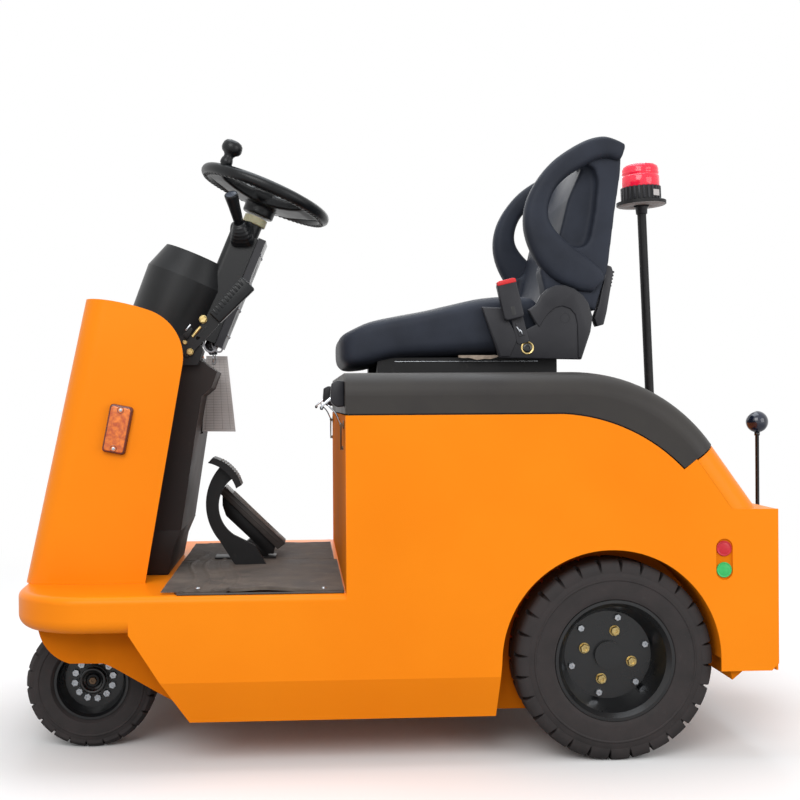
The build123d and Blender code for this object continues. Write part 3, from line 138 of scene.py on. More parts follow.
materials = {
    # powder-coated sheet steel: even orange, soft gloss with a slight orange peel
    "powderCoatOrange": {
        "light": "#fa8c0e", "dark": "#f5850a", "blotch": 420, "rough": (0.30, 0.38),
        "grain": 3.2, "depth": 0.10, "bump": 0.10, "specular": 0.14,
    },
    # moulded rubber of the pedals, greyed by shoes
    "wornPedalRubber": {
        "light": "#4b4642", "dark": "#353130", "blotch": 40, "rough": (0.45, 0.6),
        "grain": 2.4, "depth": 0.1, "bump": 0.2,
    },
    # plated latch wire gone brown with age
    "agedBrass": {
        "light": "#7a6450", "dark": "#5a483a", "blotch": 30, "rough": (0.35, 0.5),
        "grain": 5, "depth": 0.02, "bump": 0.1, "shader": {"Metallic": 0.9},
    },
    # PVC skin of the loose wires
    "greyPvcWire": {"light": "#a3a3a8", "dark": "#85858a", "blotch": 20, "rough": (0.4, 0.5)},
    # the same powder coat on inner walls and recessed parts, duller, with painted shade: its darker orange stands for
    # the shade these surfaces lie in
    "shadedPowderCoat": {
        "light": "#e07a10", "dark": "#d06f0e", "blotch": 160, "rough": (0.62, 0.75),
        "grain": 3.2, "depth": 0.10, "bump": 0.15, "specular": 0.02,
    },
    # rotomoulded polyethylene of the column: black, satin, finely grained
    "mouldedPolyethylene": {
        "light": "#1d1e20", "dark": "#171819", "blotch": 90, "rough": (0.34, 0.46),
        "grain": 1.6, "depth": 0.08, "bump": 0.25, "specular": 0.3,
    },
    # integral-skin foam over the cover: matt brown-black with a soft sheen on its rounded edge
    "skinFoam": {
        "light": "#35322f", "dark": "#2d2a29", "blotch": 130, "rough": (0.42, 0.56),
        "grain": 1.8, "depth": 0.12, "bump": 0.25,
        "fleck": "#4a4745", "fleckSize": 24, "fleckShare": 0.12, "specular": 0.3,
    },
    # calendered vinyl of the seat: blue-black, pebbled, with a broad dull highlight
    "seatVinyl": {
        "light": "#323640", "dark": "#282b33", "blotch": 110, "rough": (0.46, 0.58),
        "grain": 2.4, "depth": 0.22, "bump": 0.35, "pebbled": True, "specular": 0.13,
    },
    # injection-moulded polypropylene covers of the seat and small parts
    "mouldedPolypropylene": {
        "light": "#2e2e32", "dark": "#27272b", "blotch": 70, "rough": (0.33, 0.45),
        "grain": 1.1, "depth": 0.07, "bump": 0.3, "specular": 0.3,
    },
    # soft PVC over the steering wheel's rim: black and slightly shiny from hands
    "softPvcBlack": {
        "light": "#16181a", "dark": "#101113", "blotch": 60, "rough": (0.26, 0.38),
        "grain": 1.4, "depth": 0.05, "bump": 0.2, "specular": 0.3,
    },
    # textured ABS of the console: brown-black and dull
    "texturedAbs": {
        "light": "#231a18", "dark": "#1c1514", "blotch": 150, "rough": (0.50, 0.62),
        "grain": 1.5, "depth": 0.08, "bump": 0.3,
        "fleck": "#4a403c", "fleckSize": 30, "fleckShare": 0.2, "specular": 0.3,
    },
    # press-on solid rubber: grey-black, dusted in the grooves, matt
    "solidTyreRubber": {
        "light": "#373232", "dark": "#2b2828", "blotch": 45, "rough": (0.62, 0.78),
        "grain": 2.2, "depth": 0.2, "bump": 0.35,
        "fleck": "#5a5652", "fleckSize": 18, "fleckShare": 0.22, "specular": 0.3,
    },
    # air-dried black enamel on the rims
    "blackEnamel": {
        "light": "#131416", "dark": "#0c0d0f", "blotch": 70, "rough": (0.24, 0.36),
        "grain": 4, "depth": 0.05, "bump": 0.15, "shader": {"Coat Weight": 0.3, "Coat Roughness": 0.2},
    },
    # chassis black on the axles and brackets: thin, dull, a little dusty
    "chassisBlack": {
        "light": "#19191b", "dark": "#111112", "blotch": 60, "rough": (0.45, 0.60),
        "grain": 2.0, "depth": 0.06, "bump": 0.3,
        "fleck": "#4d4843", "fleckSize": 22, "fleckShare": 0.25, "specular": 0.3,
    },
    # bright zinc plate: cool silver, lightly clouded
    "brightZinc": {
        "light": "#c9ccd0", "dark": "#a4a8ae", "blotch": 9, "rough": (0.22, 0.36),
        "grain": 1.2, "depth": 0.02, "bump": 0.2, "shader": {"Metallic": 1.0},
    },
    # yellow-passivated zinc: brassy with a pink and green cast
    "yellowZinc": {
        "light": "#d9c48a", "dark": "#b79c62", "blotch": 6, "rough": (0.28, 0.42),
        "grain": 1.2, "depth": 0.02, "bump": 0.2, "shader": {"Metallic": 1.0},
    },
    # chrome plate of the latches
    "chromePlate": {
        "light": "#d6dadf", "dark": "#c2c7cd", "blotch": 20, "rough": (0.08, 0.16),
        "shader": {"Metallic": 1.0},
    },
    # natural nylon bearing collar: cream, waxy
    "naturalNylon": {
        "light": "#c9c3a0", "dark": "#b8b08c", "blotch": 20, "rough": (0.40, 0.50),
        "grain": 1.0, "depth": 0.03, "bump": 0.2, "shader": {"Subsurface Weight": 0.1},
    },
    # acrylic lens of the beacon: clear deep red with light in it
    "beaconAcrylic": {
        "light": "#ee1f3f", "dark": "#dc1533", "blotch": 25, "rough": (0.10, 0.18),
        "shader": {
            "Coat Weight": 0.35, "Subsurface Weight": 0.15, "Emission Color": hexColour("#ff2a4c"),
            "Emission Strength": 0.22,
        },
    },
    # edge of the marker's acrylic, dark red where the light runs along it
    "darkRedAcrylic": {
        "light": "#6a1a08", "dark": "#480f05", "blotch": 12, "rough": (0.14, 0.22),
        "shader": {"Coat Weight": 0.4},
    },
    # pressed ABS button of the belt buckle
    "pressRedAbs": {
        "light": "#dc2226", "dark": "#c9191f", "blotch": 14, "rough": (0.34, 0.44),
        "grain": 1.0, "depth": 0.04, "bump": 0.2,
    },
    # cap of the direction lever: blue-grey ABS
    "greyBlueAbs": {
        "light": "#4d535e", "dark": "#434954", "blotch": 14, "rough": (0.36, 0.46),
        "grain": 1.0, "depth": 0.03, "bump": 0.2,
    },
    # printed rules of a blank card
    "rulingInk": {"light": "#8d8884", "dark": "#827d79", "blotch": 40, "rough": (0.5, 0.6)},
    # grey gasket under the beacon
    "grommetRubber": {
        "light": "#a09a98", "dark": "#8e8886", "blotch": 18, "rough": (0.55, 0.7),
        "grain": 1.2, "depth": 0.05, "bump": 0.3,
    },
    # cut edge of the seat's polyurethane foam, gone brown
    "openFoam": {
        "light": "#b5a595", "dark": "#8f8072", "blotch": 8, "rough": (0.85, 0.95),
        "grain": 1.6, "depth": 0.6, "bump": 0.7,
    },
    # amber acrylic of the side markers, mottled by the prisms on its back
    "amberAcrylic": {
        "light": "#f08020", "dark": "#b8480c", "blotch": 9, "rough": (0.12, 0.22),
        "grain": 4, "depth": 0.4, "bump": 0.5, "shader": {"Coat Weight": 0.6},
    },
    # lenses of the two lamps in the tail, sanded dull by the weather
    "redAcrylic": {
        "light": "#cf1f30", "dark": "#b8182a", "blotch": 14, "rough": (0.3, 0.42),
        "grain": 1.5, "depth": 0.1, "bump": 0.3,
    },
    "greenAcrylic": {
        "light": "#3ec46c", "dark": "#2fb25c", "blotch": 14, "rough": (0.3, 0.42),
        "grain": 1.5, "depth": 0.1, "bump": 0.3,
    },
    # ribbed floor rubber: grey-black, scuffed and dusty
    "floorRubber": {
        "light": "#6a6058", "dark": "#443c37", "blotch": 60, "rough": (0.50, 0.72),
        "grain": 3.0, "depth": 0.25, "bump": 0.4,
        "fleck": "#9a8b7e", "fleckSize": 26, "fleckShare": 0.62, "specular": 0.3,
    },
    # phenolic ball of the hitch lever: blue-black, polished
    "phenolicBall": {
        "light": "#1a2238", "dark": "#101626", "blotch": 30, "rough": (0.10, 0.18),
        "shader": {"Coat Weight": 0.5},
    },
    # coated card on the key ring
    "coatedCard": {
        "light": "#cdc8c6", "dark": "#c2bcba", "blotch": 60, "rough": (0.45, 0.55),
        "grain": 2.0, "depth": 0.03, "bump": 0.2,
    },
    # polypropylene battery case
    "batteryCase": {
        "light": "#2a2b2e", "dark": "#222326", "blotch": 120, "rough": (0.45, 0.58),
        "grain": 1.5, "depth": 0.05, "bump": 0.3,
    },
}
for name, spec in materials.items():
    materials[name] = makeMaterial(name, spec)
print("materials made:", len(materials))

# finishes of the CAD nodes, those that a piece stands for as well
finishOf = {
    "powderCoatOrange": (
        "front_chassis side_panel_left side_panel_right slope_panel tail_panel front_shield rear_ballast"
    ),
    # inner walls, tray and the lamps' slot plate take the darker coat: painted shade
    "shadedPowderCoat": "housing_walls rear_wheel_wells battery_tray indicator_plate",
    "skinFoam": "lid",
    "mouldedPolyethylene": "column_cover",
    "mouldedPolypropylene": (
        "recliner_covers seat_buckle lever_boot key_switch direction_lever brake_grip column_back_plate"
    ),
    "texturedAbs": "console",
    "seatVinyl": "seat_cushion seat_back seat_wings",
    "softPvcBlack": "steering_wheel",
    "chassisBlack": (
        "chassis_rails drive_axle front_axle steering_gear knuckle_left knuckle_right tie_rod hitch_jaw "
        "hinge_pins hinge_eyes seat_slides brake_lever brake_pedal accelerator beacon_post latch_keepers"
    ),
    "blackEnamel": "rim_rear_left rim_rear_right rim_front_left rim_front_right",
    "solidTyreRubber": "tyre_rear_left tyre_rear_right tyre_front_left tyre_front_right",
    "floorRubber": "floor_mat",
    "naturalNylon": "bearing_collar",
    "chromePlate": "key_ring lid_latches",
    "coatedCard": "key_card",
    "beaconAcrylic": "beacon_lens",
    "amberAcrylic": "side_markers",
    "redAcrylic": "indicator_lamps",
    "batteryCase": "battery",
    "phenolicBall": "hitch_pin",
}
for finish, names in finishOf.items():
    for node in names.split():
        for place in cad[node].material_slots:
            place.material = materials[finish]
print("CAD nodes painted")


def meshOf(make):
    mesh = bpy.data.meshes.new("mesh")
    make.to_mesh(mesh)
    make.free()
    return mesh


def newPiece(name, make, finish, replaced=(), body="chassis", split=0, smooth=True):
    mesh = meshOf(make)
    mesh.materials.append(materials[finish])
    mesh.polygons.foreach_set("use_smooth", [smooth] * len(mesh.polygons))
    piece = bpy.data.objects.new(name, mesh)
    scene.collection.objects.link(piece)
    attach(piece, body)
    if replaced:
        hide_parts(*replaced)
    if split:  # faces that meet at more than this many degrees keep a crisp edge
        edges = piece.modifiers.new("edges", "EDGE_SPLIT")
        edges.split_angle = radians(split)
    return piece


def at(x, y, z, turn=0, axis="Y"):
    return Matrix.Translation((x * mm, y * mm, z * mm)) @ Matrix.Rotation(radians(turn), 4, axis)


def turned(degrees, axis):
    return Matrix.Rotation(radians(degrees), 4, axis)


facingLeft = turned(90, "X")  # turns +z to the tug's left


def moved(make, place):
    bmesh.ops.transform(make, matrix=place, verts=make.verts)
    return make


def joined(*makes):
    whole = makes[0]
    for other in makes[1:]:
        mesh = meshOf(other)
        whole.from_mesh(mesh)
        bpy.data.meshes.remove(mesh)
    return whole


def bothSides(make):  # the mesh and its mirror image on the other side of the tug
    other = make.copy()
    bmesh.ops.scale(other, vec=(1, -1, 1), verts=other.verts)
    bmesh.ops.reverse_faces(other, faces=other.faces)
    return joined(make, other)


def lathe(profile, steps=96, place=Matrix()):  # closed profile of radius and height, turned about z
    make = bmesh.new()
    rings = []
    for k in range(steps):
        a = 2 * pi * k / steps
        rings.append([make.verts.new((r * cos(a) * mm, r * sin(a) * mm, z * mm)) for r, z in profile])
    n = len(profile)
    for k in range(steps):
        for i in range(n):
            j, m = (i + 1) % n, (k + 1) % steps
            make.faces.new((rings[k][i], rings[m][i], rings[m][j], rings[k][j]))
    bmesh.ops.remove_doubles(make, verts=make.verts, dist=1e-6)
    bmesh.ops.dissolve_degenerate(make, edges=make.edges, dist=1e-7)
    bmesh.ops.recalc_face_normals(make, faces=make.faces)
    return moved(make, place)


def prism(points, low, high, plane="XZ", edge=0.0, steps=2):  # closed outline in mm, low to high across it
    place = {
        "XZ": lambda a, b, depth: (a, depth, b),
        "XY": lambda a, b, depth: (a, b, depth),
        "YZ": lambda a, b, depth: (depth, a, b),
    }[plane]
    make = bmesh.new()
    rows = [[make.verts.new([c * mm for c in place(a, b, depth)]) for a, b in points] for depth in (low, high)]
    make.faces.new(rows[0])
    make.faces.new(rows[1])
    for i in range(len(points)):
        j = (i + 1) % len(points)
        make.faces.new((rows[0][i], rows[0][j], rows[1][j], rows[1][i]))
    bmesh.ops.recalc_face_normals(make, faces=make.faces)
    if edge:
        sharp = [e for e in make.edges if e.calc_face_angle(0) > radians(25)]
        bmesh.ops.bevel(
            make, geom=sharp, offset=edge * mm, segments=steps, profile=0.5, affect="EDGES", clamp_overlap=True,
        )
    return make


def loft(rings):  # skin over rings of as many points each, closed at both ends
    make = bmesh.new()
    loops = [[make.verts.new([c * mm for c in p]) for p in ring] for ring in rings]
    n = len(loops[0])
    for lower, upper in zip(loops, loops[1:]):
        for k in range(n):
            make.faces.new((lower[k], lower[(k + 1) % n], upper[(k + 1) % n], upper[k]))
    make.faces.new(loops[0])
    make.faces.new(loops[-1])
    bmesh.ops.recalc_face_normals(make, faces=make.faces)
    return make


def curveThrough(points, steps):  # Catmull-Rom through rows of numbers
    result = []
    rows = [points[0], *points, points[-1]]
    for a, b, c, d in zip(rows, rows[1:], rows[2:], rows[3:]):
        for k in range(steps):
            t = k / steps
            result.append(tuple(
                0.5 * (2 * q + (r - p) * t + (2 * p - 5 * q + 4 * r - s) * t * t + (3 * q - p - 3 * r + s) * t ** 3)
                for p, q, r, s in zip(a, b, c, d)
            ))
    return result + [tuple(points[-1])]


def withNormals(rows):  # each row of x, z and more, with the curve's unit normal there
    for i, row in enumerate(rows):
        before, after = rows[max(i - 1, 0)], rows[min(i + 1, len(rows) - 1)]
        dx, dz = after[0] - before[0], after[1] - before[1]
        size = hypot(dx, dz)
        yield row, -dz / size, dx / size


def bulge(value, power):  # below 1 this squares off a circle's sine or cosine
    return copysign(abs(value) ** power, value)


def tubeAlong(points, radius, sides=10, ease=4):  # round bar through points in mm
    spine = [Vector(p) for p in curveThrough(points, ease)]
    rings = []
    turn = None
    for i, p in enumerate(spine):
        ahead = (spine[min(i + 1, len(spine) - 1)] - spine[max(i - 1, 0)]).normalized()
        if turn is None:
            turn = ahead.orthogonal().normalized()
        turn = (turn - ahead * turn.dot(ahead)).normalized()
        side = ahead.cross(turn)
        rings.append([
            p + turn * radius * cos(2 * pi * k / sides) + side * radius * sin(2 * pi * k / sides)
            for k in range(sides)
        ])
    return loft(rings)


def roundedBar(length, width, height, edge, steps=2):  # centred in x and y, standing on z=0
    x, y = length / 2, width / 2
    return prism(((-x, -y), (x, -y), (x, y), (-x, y)), 0, height, "XY", edge, steps)


def bolt(flats, height, washer=0.0, dimple=0.0):  # hexagon head standing on z=0
    make = bmesh.new()
    r = flats / 2 / cos(pi / 6)
    rings = [(r, 0), (r, height * 0.72), (r * 0.86, height), (max(dimple, r * 0.2), height)]
    if dimple:
        rings += [(dimple * 0.9, height * 0.7), (0, height * 0.7)]
    else:
        rings += [(0, height)]
    loops = [
        [make.verts.new((q * cos(pi * k / 3) * mm, q * sin(pi * k / 3) * mm, z * mm)) for k in range(6)]
        for q, z in rings
    ]
    for lower, upper in zip(loops, loops[1:]):
        for k in range(6):
            make.faces.new((lower[k], lower[(k + 1) % 6], upper[(k + 1) % 6], upper[k]))
    make.faces.new(loops[0])
    bmesh.ops.remove_doubles(make, verts=make.verts, dist=1e-6)
    bmesh.ops.recalc_face_normals(make, faces=make.faces)
    if washer:
        joined(make, lathe(((0, -0.4), (washer, -0.4), (washer, 1.3), (washer - 0.5, 1.8), (0, 1.8)), 28))
    return make


def screwHead(radius, height):  # pan head with a cross on it
    head = lathe((
        (0, 0), (radius, 0), (radius, height * 0.45), (radius * 0.8, height * 0.85), (radius * 0.35, height),
        (0, height),
    ), 20)
    long, wide, top = radius * 1.1, radius * 0.24, at(0, 0, height - 0.05)
    return joined(head, moved(roundedBar(long, wide, 0.3, 0), top), moved(roundedBar(wide, long, 0.3, 0), top))


def held(make, name):
    holder = bpy.data.objects.new(name, meshOf(make))
    scene.collection.objects.link(holder)
    return holder


def evaluated(holder):  # what the holder's modifiers make of its mesh; the holder goes
    bpy.context.view_layer.update()
    mesh = bpy.data.meshes.new_from_object(holder.evaluated_get(bpy.context.evaluated_depsgraph_get()))
    bpy.data.objects.remove(holder)
    make = bmesh.new()
    make.from_mesh(mesh)
    bpy.data.meshes.remove(mesh)
    return make


# one tree for whatever repeats: copies of a unit, each stepped along and turned from the last
repeatTree = bpy.data.node_groups.new("repeatUnit", "GeometryNodeTree")
for label, kind in (
    ("Unit", "NodeSocketGeometry"), ("Count", "NodeSocketInt"), ("Step", "NodeSocketVector"),
    ("Turn", "NodeSocketVector"), ("Finish", "NodeSocketMaterial"),
):
    repeatTree.interface.new_socket(label, in_out="INPUT", socket_type=kind)
repeatTree.interface.new_socket("Result", in_out="OUTPUT", socket_type="NodeSocketGeometry")
given = addNode(repeatTree, "NodeGroupInput").outputs
order = addNode(repeatTree, "GeometryNodeInputIndex").outputs[0]
along = addNode(repeatTree, "ShaderNodeVectorMath", operation="SCALE", links={0: given["Step"], "Scale": order})
around = addNode(repeatTree, "ShaderNodeVectorMath", operation="SCALE", links={0: given["Turn"], "Scale": order})
spots = addNode(repeatTree, "GeometryNodePoints", links={"Count": given["Count"], "Position": along.outputs[0]})
copies = addNode(
    repeatTree, "GeometryNodeInstanceOnPoints",
    links={"Points": spots.outputs[0], "Instance": given["Unit"], "Rotation": around.outputs[0]},
)
real = addNode(repeatTree, "GeometryNodeRealizeInstances", links={"Geometry": copies.outputs[0]})
painted = addNode(
    repeatTree, "GeometryNodeSetMaterial", links={"Geometry": real.outputs[0], "Material": given["Finish"]},
)
addNode(repeatTree, "NodeGroupOutput", links={"Result": painted.outputs[0]})
repeatSockets = {
    item.name: item.identifier for item in repeatTree.interface.items_tree if item.in_out == "INPUT"
}


def repeated(unit, finish, count, step=(0, 0, 0), turn=(0, 0, 0)):  # step in mm, turn in degrees
    holder = held(unit, "unit")
    change = holder.modifiers.new("repeat", "NODES")
    change.node_group = repeatTree
    change[repeatSockets["Count"]] = count
    change[repeatSockets["Step"]] = [c * mm for c in step]
    change[repeatSockets["Turn"]] = [radians(a) for a in turn]
    change[repeatSockets["Finish"]] = materials[finish]
    return evaluated(holder)


def voxelled(make, size, relax):  # one skin round all the closed forms in a mesh
    holder = held(make, "rough")
    skin = holder.modifiers.new("skin", "REMESH")
    skin.mode, skin.voxel_size, skin.use_smooth_shade = "VOXEL", size * mm, True
    ease = holder.modifiers.new("ease", "SMOOTH")
    ease.factor, ease.iterations = 0.5, relax
    return evaluated(holder)


# radius, half width and groove sizes of a tyre; bead and flange are radius and half width where it meets the rim
wheels = {
    "rear": {
        "centre": (346, 385, 197), "radius": 197, "half": 50, "lugs": 28, "firstLug": 92.73,
        "grooveDepth": 9, "grooveWidth": 8, "lugReach": 23, "centreBand": 16, "bead": (112.4, 40.7),
        "flange": (119.4, 45.0),
        # name, (flats, height, washer, dimple), how many, ring radius, first angle, height on the rim, finish
        "bolts": (
            ("clampBolts", (13, 6.5, 0, 2.2), 6, 77.5, 75.4, -10, "brightZinc"),
            ("wheelNuts", (17, 9, 11, 4.5), 4, 50, 73.7, -10, "yellowZinc"),
        ),
    },
    "front": {
        "centre": (-704, 220, 132.5), "radius": 132.5, "half": 42.5, "lugs": 22, "firstLug": 158.9,
        "grooveDepth": 6, "grooveWidth": 6, "lugReach": 15, "centreBand": 13, "bead": (71.4, 29.7),
        "flange": (76.4, 33.0),
        "bolts": (("clampBolts", (14.5, 6.5, 0, 3.0), 12, 40, 10.5, -1, "brightZinc"),),
        "hubRing": ((9, 12), (24, 12), (26.5, 14), (28, 18), (26.5, 21), (23, 21.5), (20.5, 19), (18, 15.5), (9, 15)),
        "hubNut": (15, 7, 0, 3.5), "hubNutAt": 13.4,
    },
}


def tyreMake(w):
    r, half, deep, reach, band = w["radius"], w["half"], w["grooveDepth"], w["lugReach"], w["centreBand"]
    beadRadius, beadHalf = w["flange"]
    ring = r - reach - 0.07 * r  # moulded ring round the sidewall
    side = [
        w["bead"], w["flange"], (beadRadius + 1.6, beadHalf + 3.0), (beadRadius + 6, half - 0.6),
        (beadRadius + 12, half), (ring - 3.4, half), (ring - 1.6, half + 1.5), (ring + 0.2, half + 1.5),
        (ring + 2.0, half), (r - reach, half - 0.6), (r - reach + 5, half - 4), (r - deep - 3, half - 12),
        (r - deep, half - 17), (r - deep, band + 3), (r - deep + 2, band + 0.4), (r - 0.6, band),
    ]
    carcass = lathe(side + [(q, -y) for q, y in reversed(side)], 112)
    section = [
        (r - reach - 2, half - 0.4), (r - reach + 6, half - 0.2), (r - 6, half - 3.2), (r - 2, half - 7.5),
        (r - 0.3, half - 12), (r, half - 17), (r, band - 1),
        (r - deep - 3, band - 1), (r - deep - 3, half - 17), (r - deep - 6, half - 14), (r - reach - 2, half - 5),
    ]
    steps = 6
    rings = []
    for k in range(steps + 1):
        ring = []
        for q, y in section:
            narrow = min(max((q - (r - reach)) / reach, 0), 1)
            gap = 0.6 + (w["grooveWidth"] / 2 - 0.6) * narrow ** 0.7  # the groove opens towards the tread
            a = (pi / w["lugs"] - gap / r) * (2 * k / steps - 1)
            ring.append((q * cos(a), q * sin(a), y))
        rings.append(ring)
    lug = loft(rings)
    rim = [e for e in lug.edges if e.calc_face_angle(0) > radians(50)]
    bmesh.ops.bevel(lug, geom=rim, offset=0.9 * mm, segments=1, affect="EDGES", clamp_overlap=True)
    near = repeated(lug.copy(), "solidTyreRubber", w["lugs"], turn=(0, 0, 360 / w["lugs"]))
    bmesh.ops.scale(lug, vec=(1, 1, -1), verts=lug.verts)
    bmesh.ops.reverse_faces(lug, faces=lug.faces)
    moved(lug, turned(180 / w["lugs"], "Z"))  # the far row stands half a lug on
    far = repeated(lug, "solidTyreRubber", w["lugs"], turn=(0, 0, 360 / w["lugs"]))
    return joined(carcass, near, far)


for place, w in wheels.items():
    x, y, z = w["centre"]
    for name, sign in (("left", -1), ("right", 1)):
        end = f"{place}_{name}"
        body = f"wheel_{end}"
        stand = at(x, sign * y, z, 0 if sign < 0 else 180, "Z") @ facingLeft
        tyre = moved(tyreMake(w), stand @ turned(w["firstLug"], "Z"))
        newPiece(
            f"treadedTyre_{end}", tyre, "solidTyreRubber", [f"tyre_{end}"], body=body, split=35,
        )
        for label, size, count, radius, first, seat, finish in w["bolts"]:
            heads = repeated(moved(bolt(*size), at(radius, 0, 0)), finish, count, turn=(0, 0, 360 / count))
            heads = moved(heads, stand @ at(0, 0, seat, first, "Z"))
            newPiece(f"{label}_{end}", heads, finish, body=body, split=30)
        if "hubRing" in w:
            newPiece(f"hubRing_{end}", moved(lathe(w["hubRing"], 64), stand), "blackEnamel", body=body)
            nut = moved(bolt(*w["hubNut"]), stand @ at(0, 0, w["hubNutAt"]))
            newPiece(f"hubNut_{end}", nut, "agedBrass", body=body, split=30)
print("wheels done")

seat = {
    # along the cushion: x, foot, top, half width
    "cushion": (
        (-184, 818, 840, 118), (-182, 800, 850, 152), (-174, 788, 859, 180), (-158, 782, 868, 198),
        (-120, 785, 885, 210), (-70, 797, 896, 215), (0, 801, 909, 217), (60, 803, 923, 218),
        (120, 804, 936, 218), (180, 804, 941, 215), (232, 806, 939, 209), (249, 814, 923, 196),
    ),
    "dish": 9,  # how far the middle of the top lies below its edges
    "roundness": {"side": 0.42, "top": 0.30, "foot": 0.38},
    # centre line of a side hoop seen from the side: x, z, half width, half depth
    "hoop": (
        (431, 1246, 19, 21), (419, 1250, 21, 23), (404, 1255, 22, 25), (387, 1257, 24, 26), (361, 1251, 24, 26),
        (328, 1234, 24, 26), (293, 1210, 23, 26), (264, 1178, 22, 26), (246, 1141, 24, 26), (241, 1105, 27, 26),
        (249, 1071, 32, 26), (270, 1036, 38, 26), (299, 1007, 41, 26), (334, 985, 38, 25), (362, 970, 31, 23),
        (376, 958, 22, 18),
    ),
    "hoopY": 197, "hoopRoundness": 0.62,
    # outlines seen from the side: x, z
    "spine": (
        (270, 932), (292, 1020), (334, 1180), (378, 1258), (404, 1258), (420, 1236), (414, 1140), (386, 975),
        (362, 932),
    ),
    "face": ((262, 925), (280, 1000), (318, 1150), (356, 1236), (408, 1240), (384, 960), (362, 925)),
    "flank": (
        (352, 1240), (430, 1242), (427, 1200), (415, 1122), (403, 1030), (398, 993), (385, 955), (370, 905),
        (316, 915), (296, 985), (290, 1030), (316, 1043), (336, 1041), (352, 1046), (361, 1066), (372, 1123),
        (378, 1184), (372, 1212), (352, 1224), (330, 1222),
    ),
    "web": ((262, 940), (250, 992), (256, 1006), (264, 1012), (276, 1014), (290, 1030), (312, 1030), (318, 940)),
    "spineHalf": 150, "faceHalf": 178, "flankInner": 140, "flankOuter": 203,
}


def cushionMake():
    power = seat["roundness"]
    rings = []
    for x, foot, top, half in curveThrough(seat["cushion"], 4):
        middle, rise = (foot + top) / 2, (top - foot) / 2
        ring = []
        for k in range(48):
            c, s = cos(2 * pi * k / 48), sin(2 * pi * k / 48)
            y = half * bulge(c, power["side"])
            z = middle + rise * bulge(s, power["top"] if s > 0 else power["foot"])
            if s > 0:  # the dish runs out towards the edges and the nose
                z -= seat["dish"] * max(0, 1 - (y / (0.72 * half)) ** 2) * min(1, (x + 190) / 90) * s
            ring.append((x, y, z))
        rings.append(ring)
    return loft(rings)


def hoopMake(sign):
    rings = []
    for (x, z, wide, deep), nx, nz in withNormals(curveThrough(seat["hoop"], 4)):
        ring = []
        for k in range(24):
            across = wide * bulge(cos(2 * pi * k / 24), seat["hoopRoundness"])
            out = deep * bulge(sin(2 * pi * k / 24), seat["hoopRoundness"])
            ring.append((x + nx * across, sign * seat["hoopY"] + out, z + nz * across))
        rings.append(ring)
    return loft(rings)


back = joined(
    prism(seat["spine"], -seat["spineHalf"], seat["spineHalf"]),
    prism(seat["face"], -seat["faceHalf"], seat["faceHalf"]),
)
for sign in (-1, 1):
    low, high = sorted((sign * seat["flankInner"], sign * seat["flankOuter"]))
    joined(back, prism(seat["flank"], low, high), prism(seat["web"], low, high - 8 if sign > 0 else high))
hoops = joined(hoopMake(-1), hoopMake(1))
# name, mesh, the node it stands for, how full its padding is
for name, make, node, fill in (
    ("seatBackShell", voxelled(back, 5, 4), "seat_back", 0.9),
    ("seatSideHoops", voxelled(hoops, 4, 1), "seat_wings", 0.9),
    ("seatCushion", voxelled(cushionMake(), 6, 2), "seat_cushion", 0.8),
):
    newPiece(name, make, "seatVinyl", [node], body="battery_cover")
print("seat done")

# steering column: everything on it is placed in the column's own frame, z along the shaft
column = {
    "frame": at(-346.5, 0, 1186.5, 22.6),
    "rim": 144, "grip": 13.5, "fingerRidges": 72, "ridgeHeight": 0.7,
    "hub": (
        (0, -51), (35, -51), (36.5, -49), (36.5, -30), (42, -25), (60, -20), (65, -12), (66, -2), (62, 4), (50, 8),
        (0, 11),
    ),
    "spokes": (90, 210, 330),
    # out along a spoke: radius, half width, lowest, highest
    "spoke": (
        (18, 44, -30, -2), (46, 44, -29, -1), (66, 40, -27, -1), (92, 35, -23, 0), (118, 36, -18, 3),
        (134, 42, -12, 5), (146, 50, -8, 6),
    ),
    "knob": (
        (0, 6), (11, 6), (11, 12), (13.4, 14), (14, 19), (13, 25), (11, 29), (11, 33), (14, 37.5), (19.5, 41),
        (22.8, 46.5), (23.2, 53), (21.8, 60), (18.2, 65), (13, 67.6), (9, 67.4), (5, 66.2), (0, 66),
    ),
    "knobAngle": 227.5,
    "cap": ((0, 5), (44, 5), (46, 8.4), (43, 10.4), (26, 12.4), (0, 13)),
    "plate": {"x": 44.2, "y": (38, -38), "foot": -334, "pitch": 66, "screws": 4},
}


def wheelMake():
    thick = column["grip"]
    around = [2 * pi * k / 20 for k in range(20)]
    rim = lathe([(column["rim"] + thick * cos(a), thick * sin(a)) for a in around], 120)
    whole = joined(rim, lathe(column["hub"], 64))
    for angle in column["spokes"]:
        rings = [[
            (r, -half, low + 3), (r, -half * 0.8, low), (r, half * 0.8, low), (r, half, low + 3),
            (r, half, high - 3), (r, half * 0.8, high), (r, -half * 0.8, high), (r, -half, high - 3),
        ] for r, half, low, high in column["spoke"]]
        joined(whole, moved(loft(rings), turned(angle, "Z")))
    return voxelled(whole, 2.6, 5)


def ridgesMake():  # finger ridges hugging the underside of the rim
    low, high = column["grip"] - 1.0, column["grip"] + column["ridgeHeight"]
    rings = []
    for degrees in range(246, 289, 7):
        a = radians(degrees)
        rings.append([
            (r * cos(a) + column["rim"], y, r * sin(a)) for r, y in ((low, -3.6), (high, -2.0), (high, 2.0), (low, 3.6))
        ])
    count = column["fingerRidges"]
    return repeated(loft(rings), "softPvcBlack", count, turn=(0, 0, 360 / count))


